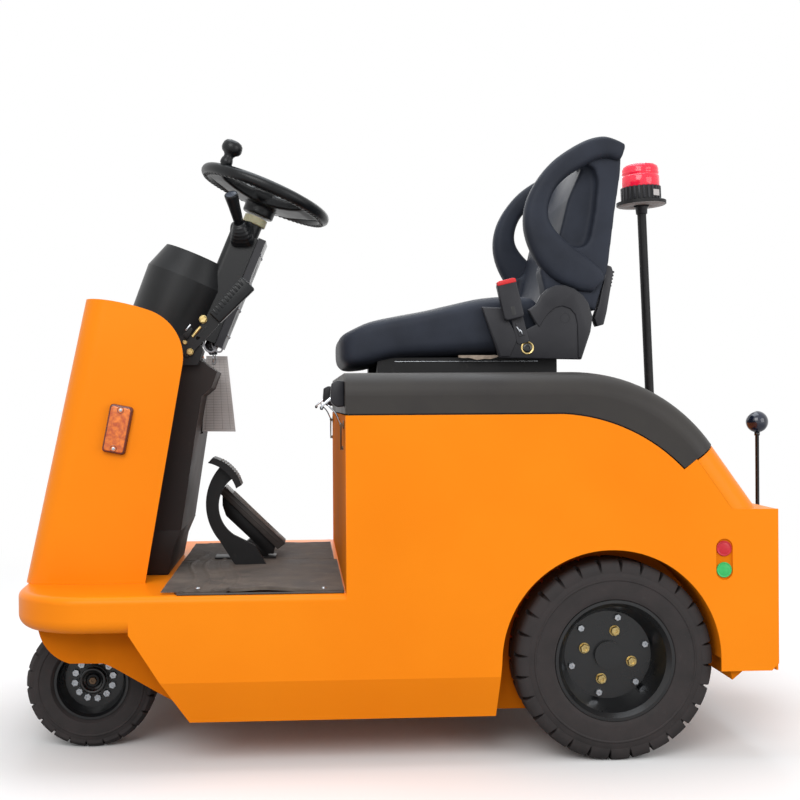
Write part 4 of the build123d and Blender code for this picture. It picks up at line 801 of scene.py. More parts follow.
spinner = turned(column["knobAngle"], "Z") @ at(column["rim"], 0, 0)
plate = column["plate"]
for name, make, finish, slot, replaced, body in (
    ("steeringWheelMoulding", wheelMake(), "softPvcBlack", "black_plastic", ["steering_wheel"], "steering_wheel"),
    ("rimFingerRidges", ridgesMake(), "softPvcBlack", "black_plastic", (), "steering_wheel"),
    ("spinnerKnob", moved(lathe(column["knob"], 48), spinner), "softPvcBlack", "black_plastic", (), "steering_wheel"),
    # plain cap over the wheel's nut
    ("wheelCentreCap", lathe(column["cap"], 48), "mouldedPolypropylene", "black_plastic", (), "steering_wheel"),
    # two rows of screws down the steel plate at the back
    ("plateScrews", joined(*[
        repeated(
            moved(screwHead(3.4, 2.4), at(plate["x"], y, plate["foot"], 90)), "brightZinc", plate["screws"],
            step=(0, 0, plate["pitch"]),
        ) for y in plate["y"]
    ]), "brightZinc", "zinc", (), "chassis"),
):
    newPiece(name, moved(make, column["frame"]), finish, replaced, body=body)

# direction lever: its way is the unit vector along it, its profile runs out along that
lever = {
    "foot": (-398, -52.4, 1088), "way": (-0.204, -0.60, 0.774), "boot": 33, "bootRings": 7,
    "profile": (
        (0, 28), (10.8, 28), (11.6, 48), (13.2, 76), (15, 96), (15.4, 100), (15.4, 103.4), (14.4, 104.8),
        (13.2, 104.8), (12.8, 104.0), (0, 104.0),
    ),
    "disc": ((0, 103.6), (12.4, 103.6), (12.4, 104.5), (11.6, 104.9), (0, 104.9)),
}


def bellowsMake(foot, way):  # rings fan from the column's side to the lever's own direction
    rings = []
    last = 2 * lever["bootRings"]
    for k in range(last + 1):
        t = k / last
        normal = Vector((0, -1, 0)).lerp(way, min(1, t * 1.15)).normalized()
        centre = foot + Vector((0, -1, 0)) * (6 + 14 * t) * (1 - t) + way * lever["boot"] * t ** 1.1
        across = (Vector((1, 0, 0)) - normal * normal.x).normalized()
        up = normal.cross(across)
        grow = 1.6 if k % 2 else -0.9  # crest or groove
        wide, tall, power = 27 - 14 * t + grow, 30 - 17 * t + grow, 0.45 + 0.5 * t
        ring = []
        for j in range(32):
            c, s = cos(2 * pi * j / 32), sin(2 * pi * j / 32)
            point = centre + across * wide * bulge(c, power) + up * tall * bulge(s, power)
            point.y = min(point.y, foot.y)
            ring.append(point)
        rings.append(ring)
    return loft(rings)


foot, way = Vector(lever["foot"]), Vector(lever["way"]).normalized()
boot = newPiece("leverBellows", bellowsMake(foot, way), "softPvcBlack", ["lever_boot"])
smoother = boot.modifiers.new("soften", "SUBSURF")
smoother.levels = smoother.render_levels = 1
leverFrame = Matrix.Translation(foot * mm) @ way.to_track_quat("Z", "X").to_matrix().to_4x4()
grip = moved(lathe(lever["profile"], 40), leverFrame)
newPiece("leverGrip", grip, "softPvcBlack", ["direction_lever"])
newPiece("leverCapDisc", moved(lathe(lever["disc"], 32), leverFrame), "greyBlueAbs")

# parking brake; its grip is in its own frame: x along the arm, y up and forward, z to the left
brake = {
    "frame": at(-508, -190, 826, -46) @ facingLeft,
    "grip": ((84.6, -13), (84.6, 18.5), (189.6, 21.8), (189.8, -15.8)),  # wider at its end
    "inner": -9, "outer": 13.8, "ridges": 10, "ridgeStep": (9.1, 0.4, 0), "firstRidge": (96, 10.6),
    # bolt heads on the arm: x, z, width across flats
    "bolts": ((-475, 887, 14), (-503, 818, 12), (-514, 838, 8)), "boltY": -196.5,
    "rod": ((-498, -197, 850), (-489, -197, 861), (-480, -197, 871)),
    "clevis": ((-519, 852), (-509, 863), (-500, 870), (-497, 866), (-503, 853), (-509, 845)),
    "pin": (-505, -204, 868),
    # fills the space between the arm's plate and the console
    "bracket": ((-544, 791), (-489, 791), (-478, 822), (-489, 841), (-516, 854), (-544, 839)),
}
ridge = moved(roundedBar(5.6, 14, 2.6, 1.0), at(*brake["firstRidge"], brake["outer"] - 1.5))
ridges = repeated(ridge, "softPvcBlack", brake["ridges"], step=brake["ridgeStep"])
gripBody = prism(brake["grip"], brake["inner"], brake["outer"], "XY", 4, 3)
hardware = tubeAlong(brake["rod"], 3.2, 12)
for x, z, flats in brake["bolts"]:
    joined(hardware, moved(bolt(flats, flats * 0.45, flats * 0.62), at(x, brake["boltY"], z) @ facingLeft))
pin = moved(roundedBar(17, 3, 3, 0.8), at(*brake["pin"], -50))
for name, make, finish, slot, replaced, split in (
    ("brakeGripBody", moved(gripBody, brake["frame"]), "softPvcBlack", "brake_grip_plastic", ["brake_grip"], 40),
    ("brakeGripRibs", moved(ridges, brake["frame"]), "softPvcBlack", "brake_grip_plastic", (), 40),
    ("brakeBracketBlock", prism(brake["bracket"], -171, -114, "XZ", 2), "chassisBlack", "black_steel", (), 35),
    ("brakeBolts", hardware, "yellowZinc", "zinc", (), 30),
    ("brakeClevis", prism(brake["clevis"], -202, -196.4, "XZ", 0.8), "chassisBlack", "zinc", (), 30),
    ("brakePin", pin, "brightZinc", "zinc", (), 30),
):
    newPiece(name, make, finish, replaced, split=split)

# short loops of wiring that come out under the column: points along each, radius
wiring = (
    (((-474, -26, 868), (-486, -34, 850), (-484, -38, 832), (-470, -38, 824), (-458, -34, 836), (-458, -26, 858)), 2.4),
    (((-466, -20, 868), (-470, -30, 846), (-462, -36, 828), (-448, -34, 826), (-444, -26, 846), (-452, -18, 864)), 2.0),
)
newPiece("columnWires", joined(*[tubeAlong(way, r) for way, r in wiring]), "greyPvcWire")
print("column done")

# blank card on the key ring, ruled with fine lines; and the key's bow
card = {
    "rows": 27, "pitch": 6.1, "foot": 650, "rule": 0.5, "depth": (-6.75, -6.45),
    "columns": ((-487, -478), (-468, -468), (-448, -455), (-430, -445)),  # x at the foot and at the top
    "bow": ((-478, 846), (-470, 850), (-460, 846), (-456, 838), (-460, 829), (-469, 826), (-477, 832)),
    "wire": ((-468, -6, 826), (-462, -8, 816), (-461, -9, 806), (-466, -8, 798), (-472, -6, 800)),
}
rules = bmesh.new()
line = card["rule"]
for k in range(card["rows"]):
    z = card["foot"] + card["pitch"] * k
    up = (z - 644) / 172  # the card narrows to its ring
    left, right = -491 + 10 * up, -421 - 18 * up
    joined(rules, prism(((left, z), (right, z), (right, z + line), (left, z + line)), *card["depth"]))
for low, high in card["columns"]:
    joined(rules, prism(((low, 648), (low + line, 648), (high + line, 809), (high, 809)), *card["depth"]))
newPiece("cardRules", rules, "rulingInk")
bow = joined(prism(card["bow"], -8.2, -3.8, "XZ", 1.2), tubeAlong(card["wire"], 0.9, 8))
newPiece("keyBow", bow, "brightZinc", split=35)

# ribbed rubber mat in two pieces; its near edge lifts between its screws
mat = {
    # left, right, near and far edges
    "near": (-542, -187, -434, 9), "far": (-542, -193, 11, 345),
    "foot": 340.3, "top": 345.0, "ribPitch": 7.5,
    "ribs": ((0, -0.4), (0.9, 1.5), (3.1, 1.5), (4, -0.4)),
    "screws": ((-470, -421), (-226, -421)), "lift": 8.0, "slant": 32,
    "folds": (-500, -470, -440, -410), "foldHeight": 4.2, "foldBow": 14,
    "strip": ((-509, 340.2), (-188, 340.2), (-188, 343.6), (-509, 343.6)),
}


def matWave(x, y):
    wave = 0.5 * sin(x / 23 + 0.4) * sin(y / 31) + 0.3 * sin(x / 9.7 + y / 17)
    bow = mat["foldBow"] * sin(pi * (y + 434) / 250)  # the folds arch a little across the mat
    folds = sum(mat["foldHeight"] * max(0, 1 - ((x - fold - bow) / 5) ** 2) for fold in mat["folds"])
    edge = max(0, 1 - (y + 434) / 42) if y < 0 else 0
    lift = mat["lift"] * edge * max(0, sin(pi * (x + 470) / 244)) ** 1.5
    return wave + folds * (0.8 if y < 150 else 0.2) + lift


def matMake(left, right, near, far):
    columns, rows = 96, 24
    slab = bmesh.new()

    def corner(i, j, z):  # the near side's front end is cut aslant
        u, v = i / columns, j / rows
        x = left + (right - left) * u + mat["slant"] * (1 - u) * (1 - v) ** 2
        return slab.verts.new((x * mm, (near + (far - near) * v ** 1.3) * mm, z * mm))

    grid = [[[corner(i, j, z) for j in range(rows + 1)] for i in range(columns + 1)] for z in (mat["foot"], mat["top"])]
    for level in grid:
        for i in range(columns):
            for j in range(rows):
                slab.faces.new((level[i][j], level[i + 1][j], level[i + 1][j + 1], level[i][j + 1]))
    low, high = grid
    for i in range(columns):
        for j in (0, rows):
            slab.faces.new((low[i][j], low[i + 1][j], high[i + 1][j], high[i][j]))
    for j in range(rows):
        for i in (0, columns):
            slab.faces.new((low[i][j], low[i][j + 1], high[i][j + 1], high[i][j]))
    bmesh.ops.recalc_face_normals(slab, faces=slab.faces)
    rib = loft([
        [(left + 2 + (right - left - 4) * i / columns, near + 4 + y, mat["top"] + z) for y, z in mat["ribs"]]
        for i in range(columns + 1)
    ])
    count = int((far - near - 6) / mat["ribPitch"])
    whole = joined(slab, repeated(rib, "floorRubber", count, step=(0, mat["ribPitch"], 0)))
    for v in whole.verts:
        wave = matWave(v.co.x / mm, v.co.y / mm)
        if v.co.z > mat["foot"] * mm + 1e-4:
            v.co.z += wave * mm
        elif v.co.y < -0.40:  # the underside rises only at the near edge
            v.co.z += 0.8 * max(0, wave) * mm
    return whole


ribbed = joined(matMake(*mat["near"]), matMake(*mat["far"]))
newPiece("ribbedMat", ribbed, "floorRubber", ["floor_mat"], split=30)
newPiece("matEdgeStrip", prism(mat["strip"], -441.5, -432, "XZ", 0.8), "wornPedalRubber")
heads = joined(*[
    moved(screwHead(5.2, 3.0), at(x, y, mat["top"] + 1 + matWave(x, y))) for x, y in mat["screws"]
])
newPiece("matScrews", heads, "brightZinc")

# pedals: ribs round the brake pad's bow; the treadle is a rubber pad on an open steel bracket
pedals = {
    "brakePad": at(-486.5, -60, 502.1, 28), "brakeRibs": 9, "brakeRibTurn": 4.4,
    "treadle": at(-375, 58, 448.5, 44.4), "treadleRibs": 12, "treadleRibPitch": 6,
    "pad": ((-458, 500), (-324, 368), (-306, 381), (-444, 516)),
    "padLines": (
        ((-452, 506), (-314, 375), (-312, 377.5), (-450, 508.5)),
        ((-446, 511.5), (-308.5, 380.5), (-306, 383), (-443.5, 514)),
    ),
    "cheek": ((-452, 494), (-330, 374), (-334, 356), (-350, 356), (-444, 446), (-452, 470)),
    "sole": ((-470, 346), (-328, 346), (-328, 350), (-470, 350)),
    "block": ((-402, 346), (-350, 346), (-338, 372), (-372, 404), (-412, 372)),
}
padRibs = repeated(
    moved(roundedBar(2.6, 70, 1.8, 0.6), at(0, 0, 88.2)), "floorRubber", pedals["brakeRibs"],
    turn=(0, pedals["brakeRibTurn"], 0),
)
newPiece("brakePadRibs", moved(padRibs, pedals["brakePad"]), "floorRubber")
treadleRibs = repeated(
    moved(roundedBar(166, 2.6, 1.6, 0.5), at(10, -33, -0.5)), "floorRubber", pedals["treadleRibs"],
    step=(0, pedals["treadleRibPitch"], 0),
)
newPiece("treadleRibs", moved(treadleRibs, pedals["treadle"]), "floorRubber")
pad = joined(prism(pedals["pad"], 20, 96, "XZ", 2), *[prism(edge, 19, 97, "XZ", 0.6) for edge in pedals["padLines"]])
newPiece("treadlePad", pad, "wornPedalRubber", ["accelerator"], split=35)
bracket = joined(
    prism(pedals["cheek"], 34, 40, "XZ", 1), prism(pedals["cheek"], 78, 84, "XZ", 1),
    prism(pedals["sole"], 28, 88, "XZ", 1), prism(pedals["block"], 36, 82, "XZ", 2),
)
newPiece("treadleBracket", bracket, "chassisBlack", split=35)
print("floor done")

# front markers, drawn on the left side and mirrored: x to the rear, y up the lamp, z outwards
marker = {
    "frame": at(-643, -278.4, 656, 11) @ facingLeft, "wide": 48, "tall": 100, "base": 5, "lens": 13.4, "screwAt": 40,
}


def tallBox(wide, tall, low, high, edge, corner):  # upright rounded box in a lamp's frame
    outline = []
    for cx, cy, start in ((1, 1, 0), (-1, 1, 90), (-1, -1, 180), (1, -1, 270)):
        for k in range(6):
            a = radians(start + 18 * k)
            outline.append((cx * (wide / 2 - corner) + corner * cos(a), cy * (tall / 2 - corner) + corner * sin(a)))
    rings = [[(x, y, low) for x, y in outline]]
    for k in range(4):
        a = pi / 2 * k / 3
        inset = edge * (1 - cos(a))
        height = high - edge + edge * sin(a)
        rings.append([(x * (1 - 2 * inset / wide), y * (1 - 2 * inset / tall), height) for x, y in outline])
    return loft(rings)


wide, tall, base, lens = marker["wide"], marker["tall"], marker["base"], marker["lens"]
rims = joined(
    tallBox(wide, tall, 0, base, 1.5, 7), tallBox(wide - 2, tall - 2, base - 0.2, lens - 1.6, 2.5, 6.5),
)
heads = bmesh.new()
for y in (-marker["screwAt"], marker["screwAt"]):
    well = (
        (3.4, lens - 2), (6.6, lens - 2), (6.9, lens + 0.2), (6.2, lens + 0.5), (4.4, lens - 1.0), (3.4, lens - 1.2),
    )
    joined(rims, lathe(well, 28, at(0, y, 0)))
    joined(heads, moved(screwHead(3.9, 2.2), at(0, y, lens - 1.4)))
for name, make, finish, slot, replaced in (
    ("markerRims", rims, "darkRedAcrylic", "marker_lens", ["side_markers"]),
    ("markerLenses", tallBox(wide - 8, tall - 8, base, lens, 2.2, 5), "amberAcrylic", "marker_lens", ()),
    ("markerScrews", heads, "brightZinc", "zinc", ()),
):
    newPiece(name, bothSides(moved(make, marker["frame"])), finish, replaced, split=40)

# round lamps in the slot of the tail: red over green, each with a rolled edge
indicator = {"place": (559.5, -446, 396), "pitch": 42, "radius": 15.2, "proud": 3.7}
x, y, z = indicator["place"]
r, h = indicator["radius"], indicator["proud"]
dome = (
    (0, 0), (r, 0), (r, h * 0.55), (r - 0.7, h * 0.85), (r - 1.8, h * 0.9), (r - 2.8, h * 0.62), (r - 4.0, h * 0.7),
    (r * 0.5, h * 0.9), (0, h * 0.96),
)
for name, up, finish, replaced in (
    ("stopLamp", 0.5, "redAcrylic", ["indicator_lamps"]), ("readyLamp", -0.5, "greenAcrylic", ()),
):
    lamp = lathe(dome, 48, at(x, y, z + up * indicator["pitch"]) @ facingLeft)
    newPiece(name, lamp, finish, replaced)

# draw latches: a V plate with two wire bows below, a moulded block with a chrome hook above; vee, bow and loop are
# measured from the wall and from the latch's middle, the other outlines are x, z
latch = {
    "wall": -183.6, "across": (-380, 380),
    "vee": ((-13, 672), (13, 672), (13, 660), (9, 656), (-9, 656), (-13, 660)),
    "bow": (
        (-5, 13, 668), (-6, 13, 650), (-6, 8, 634), (-6, 1, 620), (-6, -1, 616), (-6, 5, 640), (-6, 8, 660),
        (-5, 9, 668),
    ),
    # half of the loop that goes over the hook
    "loop": ((-6, 9, 664), (-9, 9, 672), (-17, 9, 688), (-27.5, 9, 699), (-31, 7, 704.5)), "loopEnd": (-31.5, 0, 705.5),
    "block": ((-183.2, 700), (-183.2, 750), (-196, 752), (-208, 746), (-210.5, 716), (-208, 706), (-198, 699)),
    "hook": (
        (-186, 716.5), (-211, 718.5), (-228, 704), (-229.5, 697), (-227, 695.5), (-224.5, 701), (-209, 713),
        (-186, 712.5),
    ),
    "tip": ((-231, 700), (-230.5, 694), (-225.5, 693.5), (-223.5, 699.5), (-227, 702.5)),
}
plates, loops, blocks, hooks, tips = (bmesh.new() for _ in range(5))
x = latch["wall"]
for y in latch["across"]:
    joined(plates, prism([(y + b, z) for b, z in latch["vee"]], x - 1.6, x - 0.1, "YZ", 0.4))
    for side in (-1, 1):
        bow = [(x + a, y + side * b, z) for a, b, z in latch["bow"]]
        pivot = at(x - 5, y + side * 12.2, 663, 90 * side, "X")
        joined(plates, tubeAlong(bow, 1.4, 8, 3), lathe(((0, 0), (3.4, 0), (3.4, 1.6), (0, 1.6)), 20, pivot))
    joined(plates, lathe(((0, 0), (4.2, 0), (3.4, 2.6), (0, 3.2)), 20, at(x - 1.4, y, 618, -90)))
    half = latch["loop"]
    loop = [(a, -b, z) for a, b, z in half] + [latch["loopEnd"]] + list(reversed(half))
    joined(loops, tubeAlong([(x + a, y + b, z) for a, b, z in loop], 1.5, 10, 3))
    joined(blocks, prism(latch["block"], y - 19, y + 19, "XZ", 3.0, 3))
    joined(hooks, prism(latch["hook"], y - 15.5, y + 15.5, "XZ", 0.9))
    joined(tips, prism(latch["tip"], y - 14, y + 14, "XZ", 1.2))
for name, make, finish, slot, replaced, body in (
    ("latchPlates", plates, "agedBrass", "zinc", ["lid_latches"], "chassis"),
    ("latchLoops", loops, "chromePlate", "zinc", (), "chassis"),
    ("keeperBlocks", blocks, "mouldedPolypropylene", "black_plastic", ["latch_keepers"], "battery_cover"),
    ("keeperHooks", hooks, "chromePlate", "zinc", (), "battery_cover"),
    ("keeperTips", tips, "softPvcBlack", "black_plastic", (), "battery_cover"),
):
    newPiece(name, make, finish, replaced, body=body, split=35)
print("lamps and latches done")

# beacon, in its leaning post's frame: profiles of radius and height
beacon = {
    "frame": at(653, 305, 494, -2.2), "teeth": 26, "toothAt": 49.2, "toothFrom": 738, "toothTo": 772.4,
    "lens": (
        (0, 771.3), (47.5, 771.3), (48.6, 773), (48.9, 798), (47.6, 801), (46.4, 802.2), (46.4, 804), (47.6, 805.6),
        (47.9, 811), (47.2, 812.6), (47.5, 814.2), (47.0, 820), (45.4, 825.5), (41, 829.6), (33, 832.2), (18, 833.4),
        (0, 833.6),
    ),
    "gasket": ((13, 725.2), (61.5, 725.2), (62.5, 726.7), (13, 726.7)),
    "collar": ((11.7, 702), (14.5, 704), (15.5, 718), (20, 725), (11.7, 725)),
    "plateTurn": -58, "plateAt": (51.7, 0, 744), "screwAt": (57.5, 0, 735), "screwTurn": -50,
}
tooth = prism(((-3.4, 0), (-2.6, 2.4), (2.6, 2.4), (3.4, 0)), beacon["toothFrom"], beacon["toothTo"], "XY", 0.6)
tooth = moved(tooth, at(beacon["toothAt"], 0, 0, -90, "Z"))
teeth = repeated(tooth, "mouldedPolypropylene", beacon["teeth"], turn=(0, 0, 360 / beacon["teeth"]))
plate = prism(((-11, 0), (11, 0), (11, 16), (-11, 16)), 0, 0.7, "XY", 0.2)
facingOut = turned(90, "Y") @ turned(90, "Z")
plate = moved(plate, turned(beacon["plateTurn"], "Z") @ at(*beacon["plateAt"]) @ facingOut)
screws = repeated(moved(screwHead(3, 1.8), at(*beacon["screwAt"])), "brightZinc", 3, turn=(0, 0, 120))
for name, make, finish, slot, replaced, split, smooth in (
    ("beaconDome", lathe(beacon["lens"]), "beaconAcrylic", "beacon_lens_plastic", ["beacon_lens"], 0, True),
    ("beaconTeeth", teeth, "mouldedPolypropylene", "black_plastic", (), 35, True),
    ("beaconGasket", lathe(beacon["gasket"], 64), "grommetRubber", "grey_plastic", (), 0, True),
    ("beaconCollar", lathe(beacon["collar"], 40), "mouldedPolypropylene", "black_plastic", (), 0, True),
    ("beaconBlankPlate", plate, "coatedCard", "card_plastic", (), 0, False),
    ("beaconScrews", moved(screws, turned(beacon["screwTurn"], "Z")), "brightZinc", "zinc", (), 0, True),
):
    newPiece(name, moved(make, beacon["frame"]), finish, replaced, split=split, smooth=smooth)

# lifting pin of the drawbar jaw: steel pin and rod, phenolic ball on a collar
hitch = {
    "x": 808, "ball": 657, "ballRadius": 25.5,
    "rod": (
        (0, 294), (9.5, 294), (12.5, 299), (12.5, 400.4), (18.5, 400.6), (18.5, 405), (16.8, 406.4), (6.2, 406.4),
        (5, 412), (4.6, 418), (4.6, 624), (6.4, 625), (6.4, 633), (0, 633),
    ),
}
stand = at(hitch["x"], 0, 0)
newPiece("liftingPinSteel", lathe(hitch["rod"], 40, stand), "blackEnamel", ["hitch_pin"], "hitch_pin")
sweep = [-pi / 2 + pi * k / 24 for k in range(25)]
ball = [(max(0, hitch["ballRadius"] * cos(a)), hitch["ball"] + hitch["ballRadius"] * sin(a)) for a in sweep]
newPiece("ballHandle", lathe(ball, 48, stand), "phenolicBall", body="hitch_pin")

# recliner covers: outlines seen from the side, stepped round the hinge
recliner = {
    "cover": (
        (116, 910), (162, 908), (190, 850), (234, 872), (215, 903), (233, 914), (243, 934), (258, 948), (276, 956),
        (296, 956), (316, 949), (334, 936), (347, 918), (356, 888), (351, 856), (331, 797), (154, 801),
    ),
    "raised": ((118, 908), (160, 906), (189, 853), (200, 858), (176, 804), (156, 804)),
    "lip": (
        (217, 902), (235, 914), (245, 932), (260, 946), (277, 953.5), (296, 953.5), (315, 946.5), (332, 934),
        (344.5, 917), (353, 888), (348.5, 857), (330, 800), (323.5, 800), (322.5, 872), (317.5, 893),
        (306.5, 905.5), (290, 911), (275, 908), (260, 896), (249, 882), (240, 866), (234, 874),
    ),
    "boltAt": (214, 822), "markAt": (296, 886),
    "ring": ((9.4, 0), (13.8, 0), (13.8, 1.6), (12.6, 2.2), (10.6, 1.4), (9.4, 0.4)),
    "boss": ((0, 0), (9.3, 0), (9.3, 1.8), (8.2, 2.6), (5.2, 2.8), (4.4, 1.0), (0, 1.0)),
    "mark": ((9.4, -0.2), (11, -0.2), (11, 0.5), (9.4, 0.5)),
}
covers = joined(
    prism(recliner["cover"], -234.8, -223.2, "XZ", 2.4, 3), prism(recliner["raised"], -237.2, -234, "XZ", 1.4, 3),
    prism(recliner["lip"], -237.6, -234, "XZ", 1.8, 3),
)


def onCover(profile, steps, place, out):
    x, z = place
    return lathe(profile, steps, at(x, -out, z) @ facingLeft)


for name, make, finish, slot, replaced in (
    ("reclinerCovers", covers, "mouldedPolypropylene", "black_plastic", ["recliner_covers"]),
    ("reclinerRings", onCover(recliner["ring"], 40, recliner["boltAt"], 234.6), "yellowZinc", "zinc", ()),
    ("reclinerBosses", onCover(recliner["boss"], 32, recliner["boltAt"], 234.6), "blackEnamel", "black_plastic", ()),
    (
        "reclinerMarks", onCover(recliner["mark"], 40, recliner["markAt"], 234.7), "mouldedPolypropylene",
        "black_plastic", (),
    ),
):
    newPiece(name, bothSides(make), finish, replaced, "battery_cover", 35)

# belt buckle on its stalk, the handle of the backrest, and the foam's edge under the cushion
fittings = {
    "buckle": at(176, -235.2, 923, -13) @ facingLeft,  # x to the rear, y up the buckle, z outwards
    "stalk": at(198, -235.2, 862, -14) @ facingLeft, "stalkRib": at(199, -235.2, 862, -14) @ facingLeft,
    "press": ((-20.5, 34.5), (20.5, 34.5), (20.5, 42.5), (15, 44.4), (-15, 44.4), (-20.5, 42.5)),
    "wires": (
        ((190, -237, 868), (194, -240, 862), (197, -239, 855)), ((197, -238, 862), (200, -241, 857), (202, -239, 850)),
    ),
    "handle": (
        (396, 1004), (407, 1000), (411, 988), (396, 902), (389, 874), (374, 870), (368, 888), (379, 920),
    ),
    "tooth": ((405, 992), (413.5, 990), (413.5, 986.5), (405, 984)), "toothStep": (-1.6, 0, -7.4),
    "foam": {"from": 70, "length": 96, "y": -206, "z": 806, "rows": 24},
}
stalk = joined(
    moved(tallBox(26, 62, 0.3, 3.0, 0.8, 5), fittings["stalk"]),
    moved(tallBox(15, 30, 2.8, 4.2, 0.6, 2), fittings["stalkRib"]),
)
slotRim = moved(tallBox(9, 20, 16.2, 17.0, 0.3, 2), at(0, -24, 0))
teeth = repeated(prism(fittings["tooth"], -198, -174, "XZ", 0.8), "mouldedPolypropylene", 5, step=fittings["toothStep"])
foam = fittings["foam"]
foamRings = []
for k in range(foam["rows"] + 1):
    x, y, z = foam["from"] + foam["length"] * k / foam["rows"], foam["y"], foam["z"]
    drop = 2.5 + 4.5 * sin(pi * k / foam["rows"]) ** 2 + sin(k * 0.8)  # the foam sags unevenly
    foamRings.append([(x, y - 5, z + 2), (x, y + 5, z + 2), (x, y + 4, z - drop), (x, y - 4, z - drop)])
buckle = fittings["buckle"]
for name, make, finish, slot, replaced, split in (
    (
        "buckleBody", moved(tallBox(43, 82, 0.2, 16.6, 3.2, 7), buckle), "mouldedPolypropylene", "black_plastic",
        ["seat_buckle"], 45,
    ),
    ("buckleStalk", stalk, "mouldedPolypropylene", "black_plastic", (), 45),
    (
        "buckleButton", moved(prism(fittings["press"], 2.0, 17.6, "XY", 1.6, 3), buckle), "pressRedAbs", "lamp_lens",
        (), 45,
    ),
    ("buckleSlot", moved(slotRim, buckle), "blackEnamel", "black_plastic", (), 45),
    ("buckleWire", joined(*[tubeAlong(way, 1.6, 8) for way in fittings["wires"]]), "brightZinc", "zinc", (), 0),
    (
        "reclineHandle", joined(prism(fittings["handle"], -200, -172, "XZ", 2.4, 3), teeth), "mouldedPolypropylene",
        "black_plastic", (), 35,
    ),
    ("foamEdge", loft(foamRings), "openFoam", "seat_vinyl", (), 50),
):
    newPiece(name, make, finish, replaced, "battery_cover", split)
print("seat fittings done")

# trim: the console's lower step, a black strip behind the cover's seam that is painted shade for the closed space
# behind the gap, the weight under the tail, the slides' bright edges
trim = {
    "step": ((-640, 341), (-554.6, 341), (-543.5, 395.4), (-526.2, 436), (-640, 436)), "stepHalf": 171.6,
    # the weight's foot shows as a small wedge behind the rear wheel
    "ballast": ((570.5, 460), (600, 489), (663, 489), (663, 184), (600, 174), (578, 156), (570.5, 190)),
    "ballastHalf": 439,
    "slideEdge": ((-66, 795.2), (246, 795.2), (246, 796.4), (-66, 796.4)),
    # the black strip runs along the seam inside the side wall: painted shade, so the gap reads dark
    "seamShade": (
        (-177, 684), (-60, 684), (80, 684), (200, 684), (243, 683.4), (316, 671), (382, 646), (435, 613), (480, 575),
    ),
    "seamShadeInner": 437.5, "seamShadeOuter": 443.4, "seamShadeHalf": 9,
}
inner, outer, half = trim["seamShadeInner"], trim["seamShadeOuter"], trim["seamShadeHalf"]
rings = []
for (x, z), nx, nz in withNormals(curveThrough(trim["seamShade"], 5)):
    nx, nz = nx * half, nz * half
    rings.append([
        (x - nx, -inner, z - nz), (x - nx, -outer, z - nz), (x + nx, -outer, z + nz), (x + nx, -inner, z + nz),
    ])
for name, make, finish, slot, replaced, body, split in (
    (
        "consoleStep", prism(trim["step"], -trim["stepHalf"], trim["stepHalf"], "XZ", 0.8), "texturedAbs",
        "console_plastic", (), "chassis", 30,
    ),
    # black strip behind the seam: painted shade for the closed space behind it
    ("seamShadeStrip", bothSides(loft(rings)), "softPvcBlack", "black_plastic", (), "chassis", 30),
    # the weight's foot takes the darker coat: painted shade for the shade under the tail
    (
        "ballastBlock", prism(trim["ballast"], -trim["ballastHalf"], trim["ballastHalf"], "XZ", 1), "shadedPowderCoat",
        "body_paint", ["rear_ballast"], "chassis", 35,
    ),
    (
        "slideRailEdges", bothSides(prism(trim["slideEdge"], -188.5, -186.6, "XZ", 0.3)), "brightZinc", "zinc", (),
        "battery_cover", 0,
    ),
):
    newPiece(name, make, finish, replaced, body, split)
print("trim done")

# a pale floor that keeps the shadow and turns to white where the camera looks past it
studio = {
    "floorSize": 9.0,
    "floorColour": "#f6f6f6",
    "bounceColour": "#b4b4b4",  # what the floor throws back on the tug
    "whiteFrom": 1.6,  # metres from the tug where the floor starts to turn white
    "whiteTo": 3.4,
    "worldStrength": 0.66,
}


def raysOf(tree):  # 1 for camera rays; 1 for camera, glossy and transmission rays
    rays = addNode(tree, "ShaderNodeLightPath").outputs
    seen = rays["Is Camera Ray"]
    for kind in ("Is Glossy Ray", "Is Transmission Ray"):
        seen = addNode(tree, "ShaderNodeMath", operation="MAXIMUM", links={0: seen, 1: rays[kind]}).outputs[0]
    return rays["Is Camera Ray"], seen


floorMaterial = bpy.data.materials.new("matteFloorPaint")
floorMaterial.use_nodes = True
tree = floorMaterial.node_tree
tree.nodes["Principled BSDF"].inputs["Roughness"].default_value = 0.9
tree.nodes["Principled BSDF"].inputs["Specular IOR Level"].default_value = 0.1
place = addNode(tree, "ShaderNodeTexCoord").outputs["Object"]
away = addNode(tree, "ShaderNodeVectorMath", operation="LENGTH", links={0: place}).outputs["Value"]
fade = addNode(
    tree, "ShaderNodeMapRange",
    {"From Min": studio["whiteFrom"], "From Max": studio["whiteTo"]}, {"Value": away},
    interpolation_type="SMOOTHSTEP",
)
seenByCamera, seen = raysOf(tree)
shown = addNode(tree, "ShaderNodeMix", data_type="RGBA", links={0: seenByCamera})
shown.inputs[6].default_value = hexColour(studio["bounceColour"])
shown.inputs[7].default_value = hexColour(studio["floorColour"])
tree.links.new(shown.outputs[2], tree.nodes["Principled BSDF"].inputs["Base Color"])
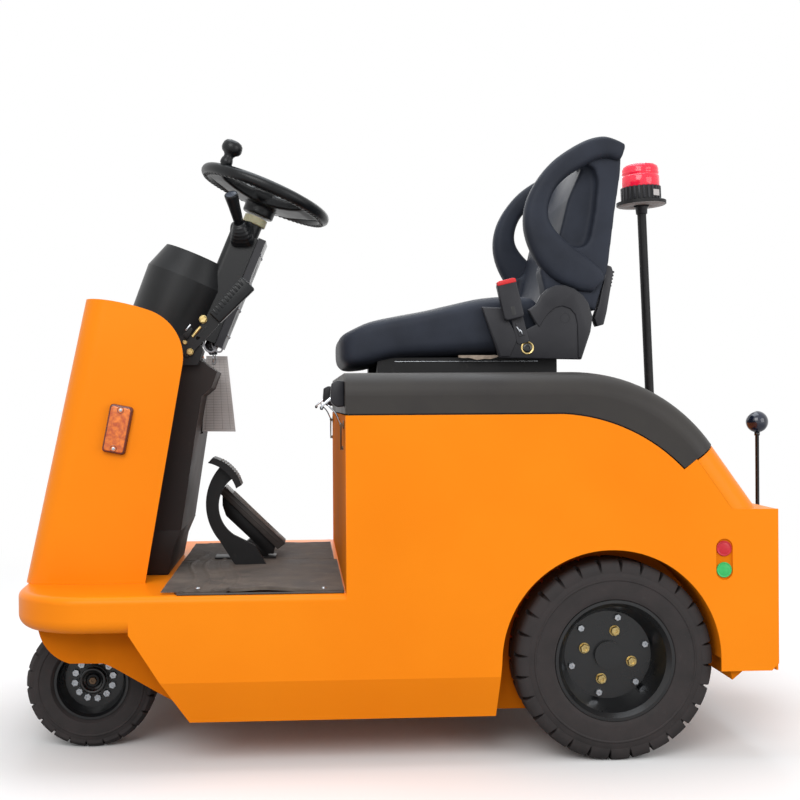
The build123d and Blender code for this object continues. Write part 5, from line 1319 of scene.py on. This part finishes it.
share = addNode(tree, "ShaderNodeMath", operation="MULTIPLY", links={0: seen, 1: fade.outputs[0]})
white = addNode(tree, "ShaderNodeEmission", {"Color": (1, 1, 1, 1), "Strength": 1.0})
mixed = addNode(
    tree, "ShaderNodeMixShader",
    links={0: share.outputs[0], 1: tree.nodes["Principled BSDF"].outputs[0], 2: white.outputs[0]},
)
tree.links.new(mixed.outputs[0], tree.nodes["Material Output"].inputs["Surface"])
make = bmesh.new()
bmesh.ops.create_circle(make, cap_ends=True, segments=96, radius=studio["floorSize"])
floor = bpy.data.objects.new("floor", meshOf(make))
floor.data.materials.append(floorMaterial)
scene.collection.objects.link(floor)

world = bpy.data.worlds.new("softStudio")
scene.world = world
world.use_nodes = True
tree = world.node_tree
seen = raysOf(tree)[1]
dim = tree.nodes["Background"]
dim.inputs["Color"].default_value = (1, 1, 1, 1)
dim.inputs["Strength"].default_value = studio["worldStrength"]
plain = addNode(tree, "ShaderNodeBackground", {"Color": (1, 1, 1, 1), "Strength": 1.0})
mixed = addNode(tree, "ShaderNodeMixShader", links={0: seen, 1: dim.outputs[0], 2: plain.outputs[0]})
tree.links.new(mixed.outputs[0], tree.nodes["World Output"].inputs["Surface"])

lamps = {
    # name: place, aims at, size in metres, watts
    "keyLamp": ((-1.2, -3.4, 2.8), (0, 0, 0.5), 2.4, 74),
    "fillLamp": ((2.6, -2.4, 1.4), (0, 0, 0.5), 2.0, 28),
    "topLamp": ((0.0, 0.3, 3.6), (0, 0, 0.6), 2.6, 54),
    "backLamp": ((0.6, 3.2, 2.2), (0, 0, 0.5), 2.4, 30),
}
for name, (where, aim, size, watts) in lamps.items():
    lamp = bpy.data.objects.new(name, bpy.data.lights.new(name, "AREA"))
    lamp.data.energy, lamp.data.size = watts, size
    lamp.location = where
    lamp.rotation_euler = (Vector(aim) - Vector(where)).to_track_quat("-Z", "Y").to_euler()
    scene.collection.objects.link(lamp)
bpy.data.lights["topLamp"].color = (0.86, 0.93, 1.0)
print("studio set")
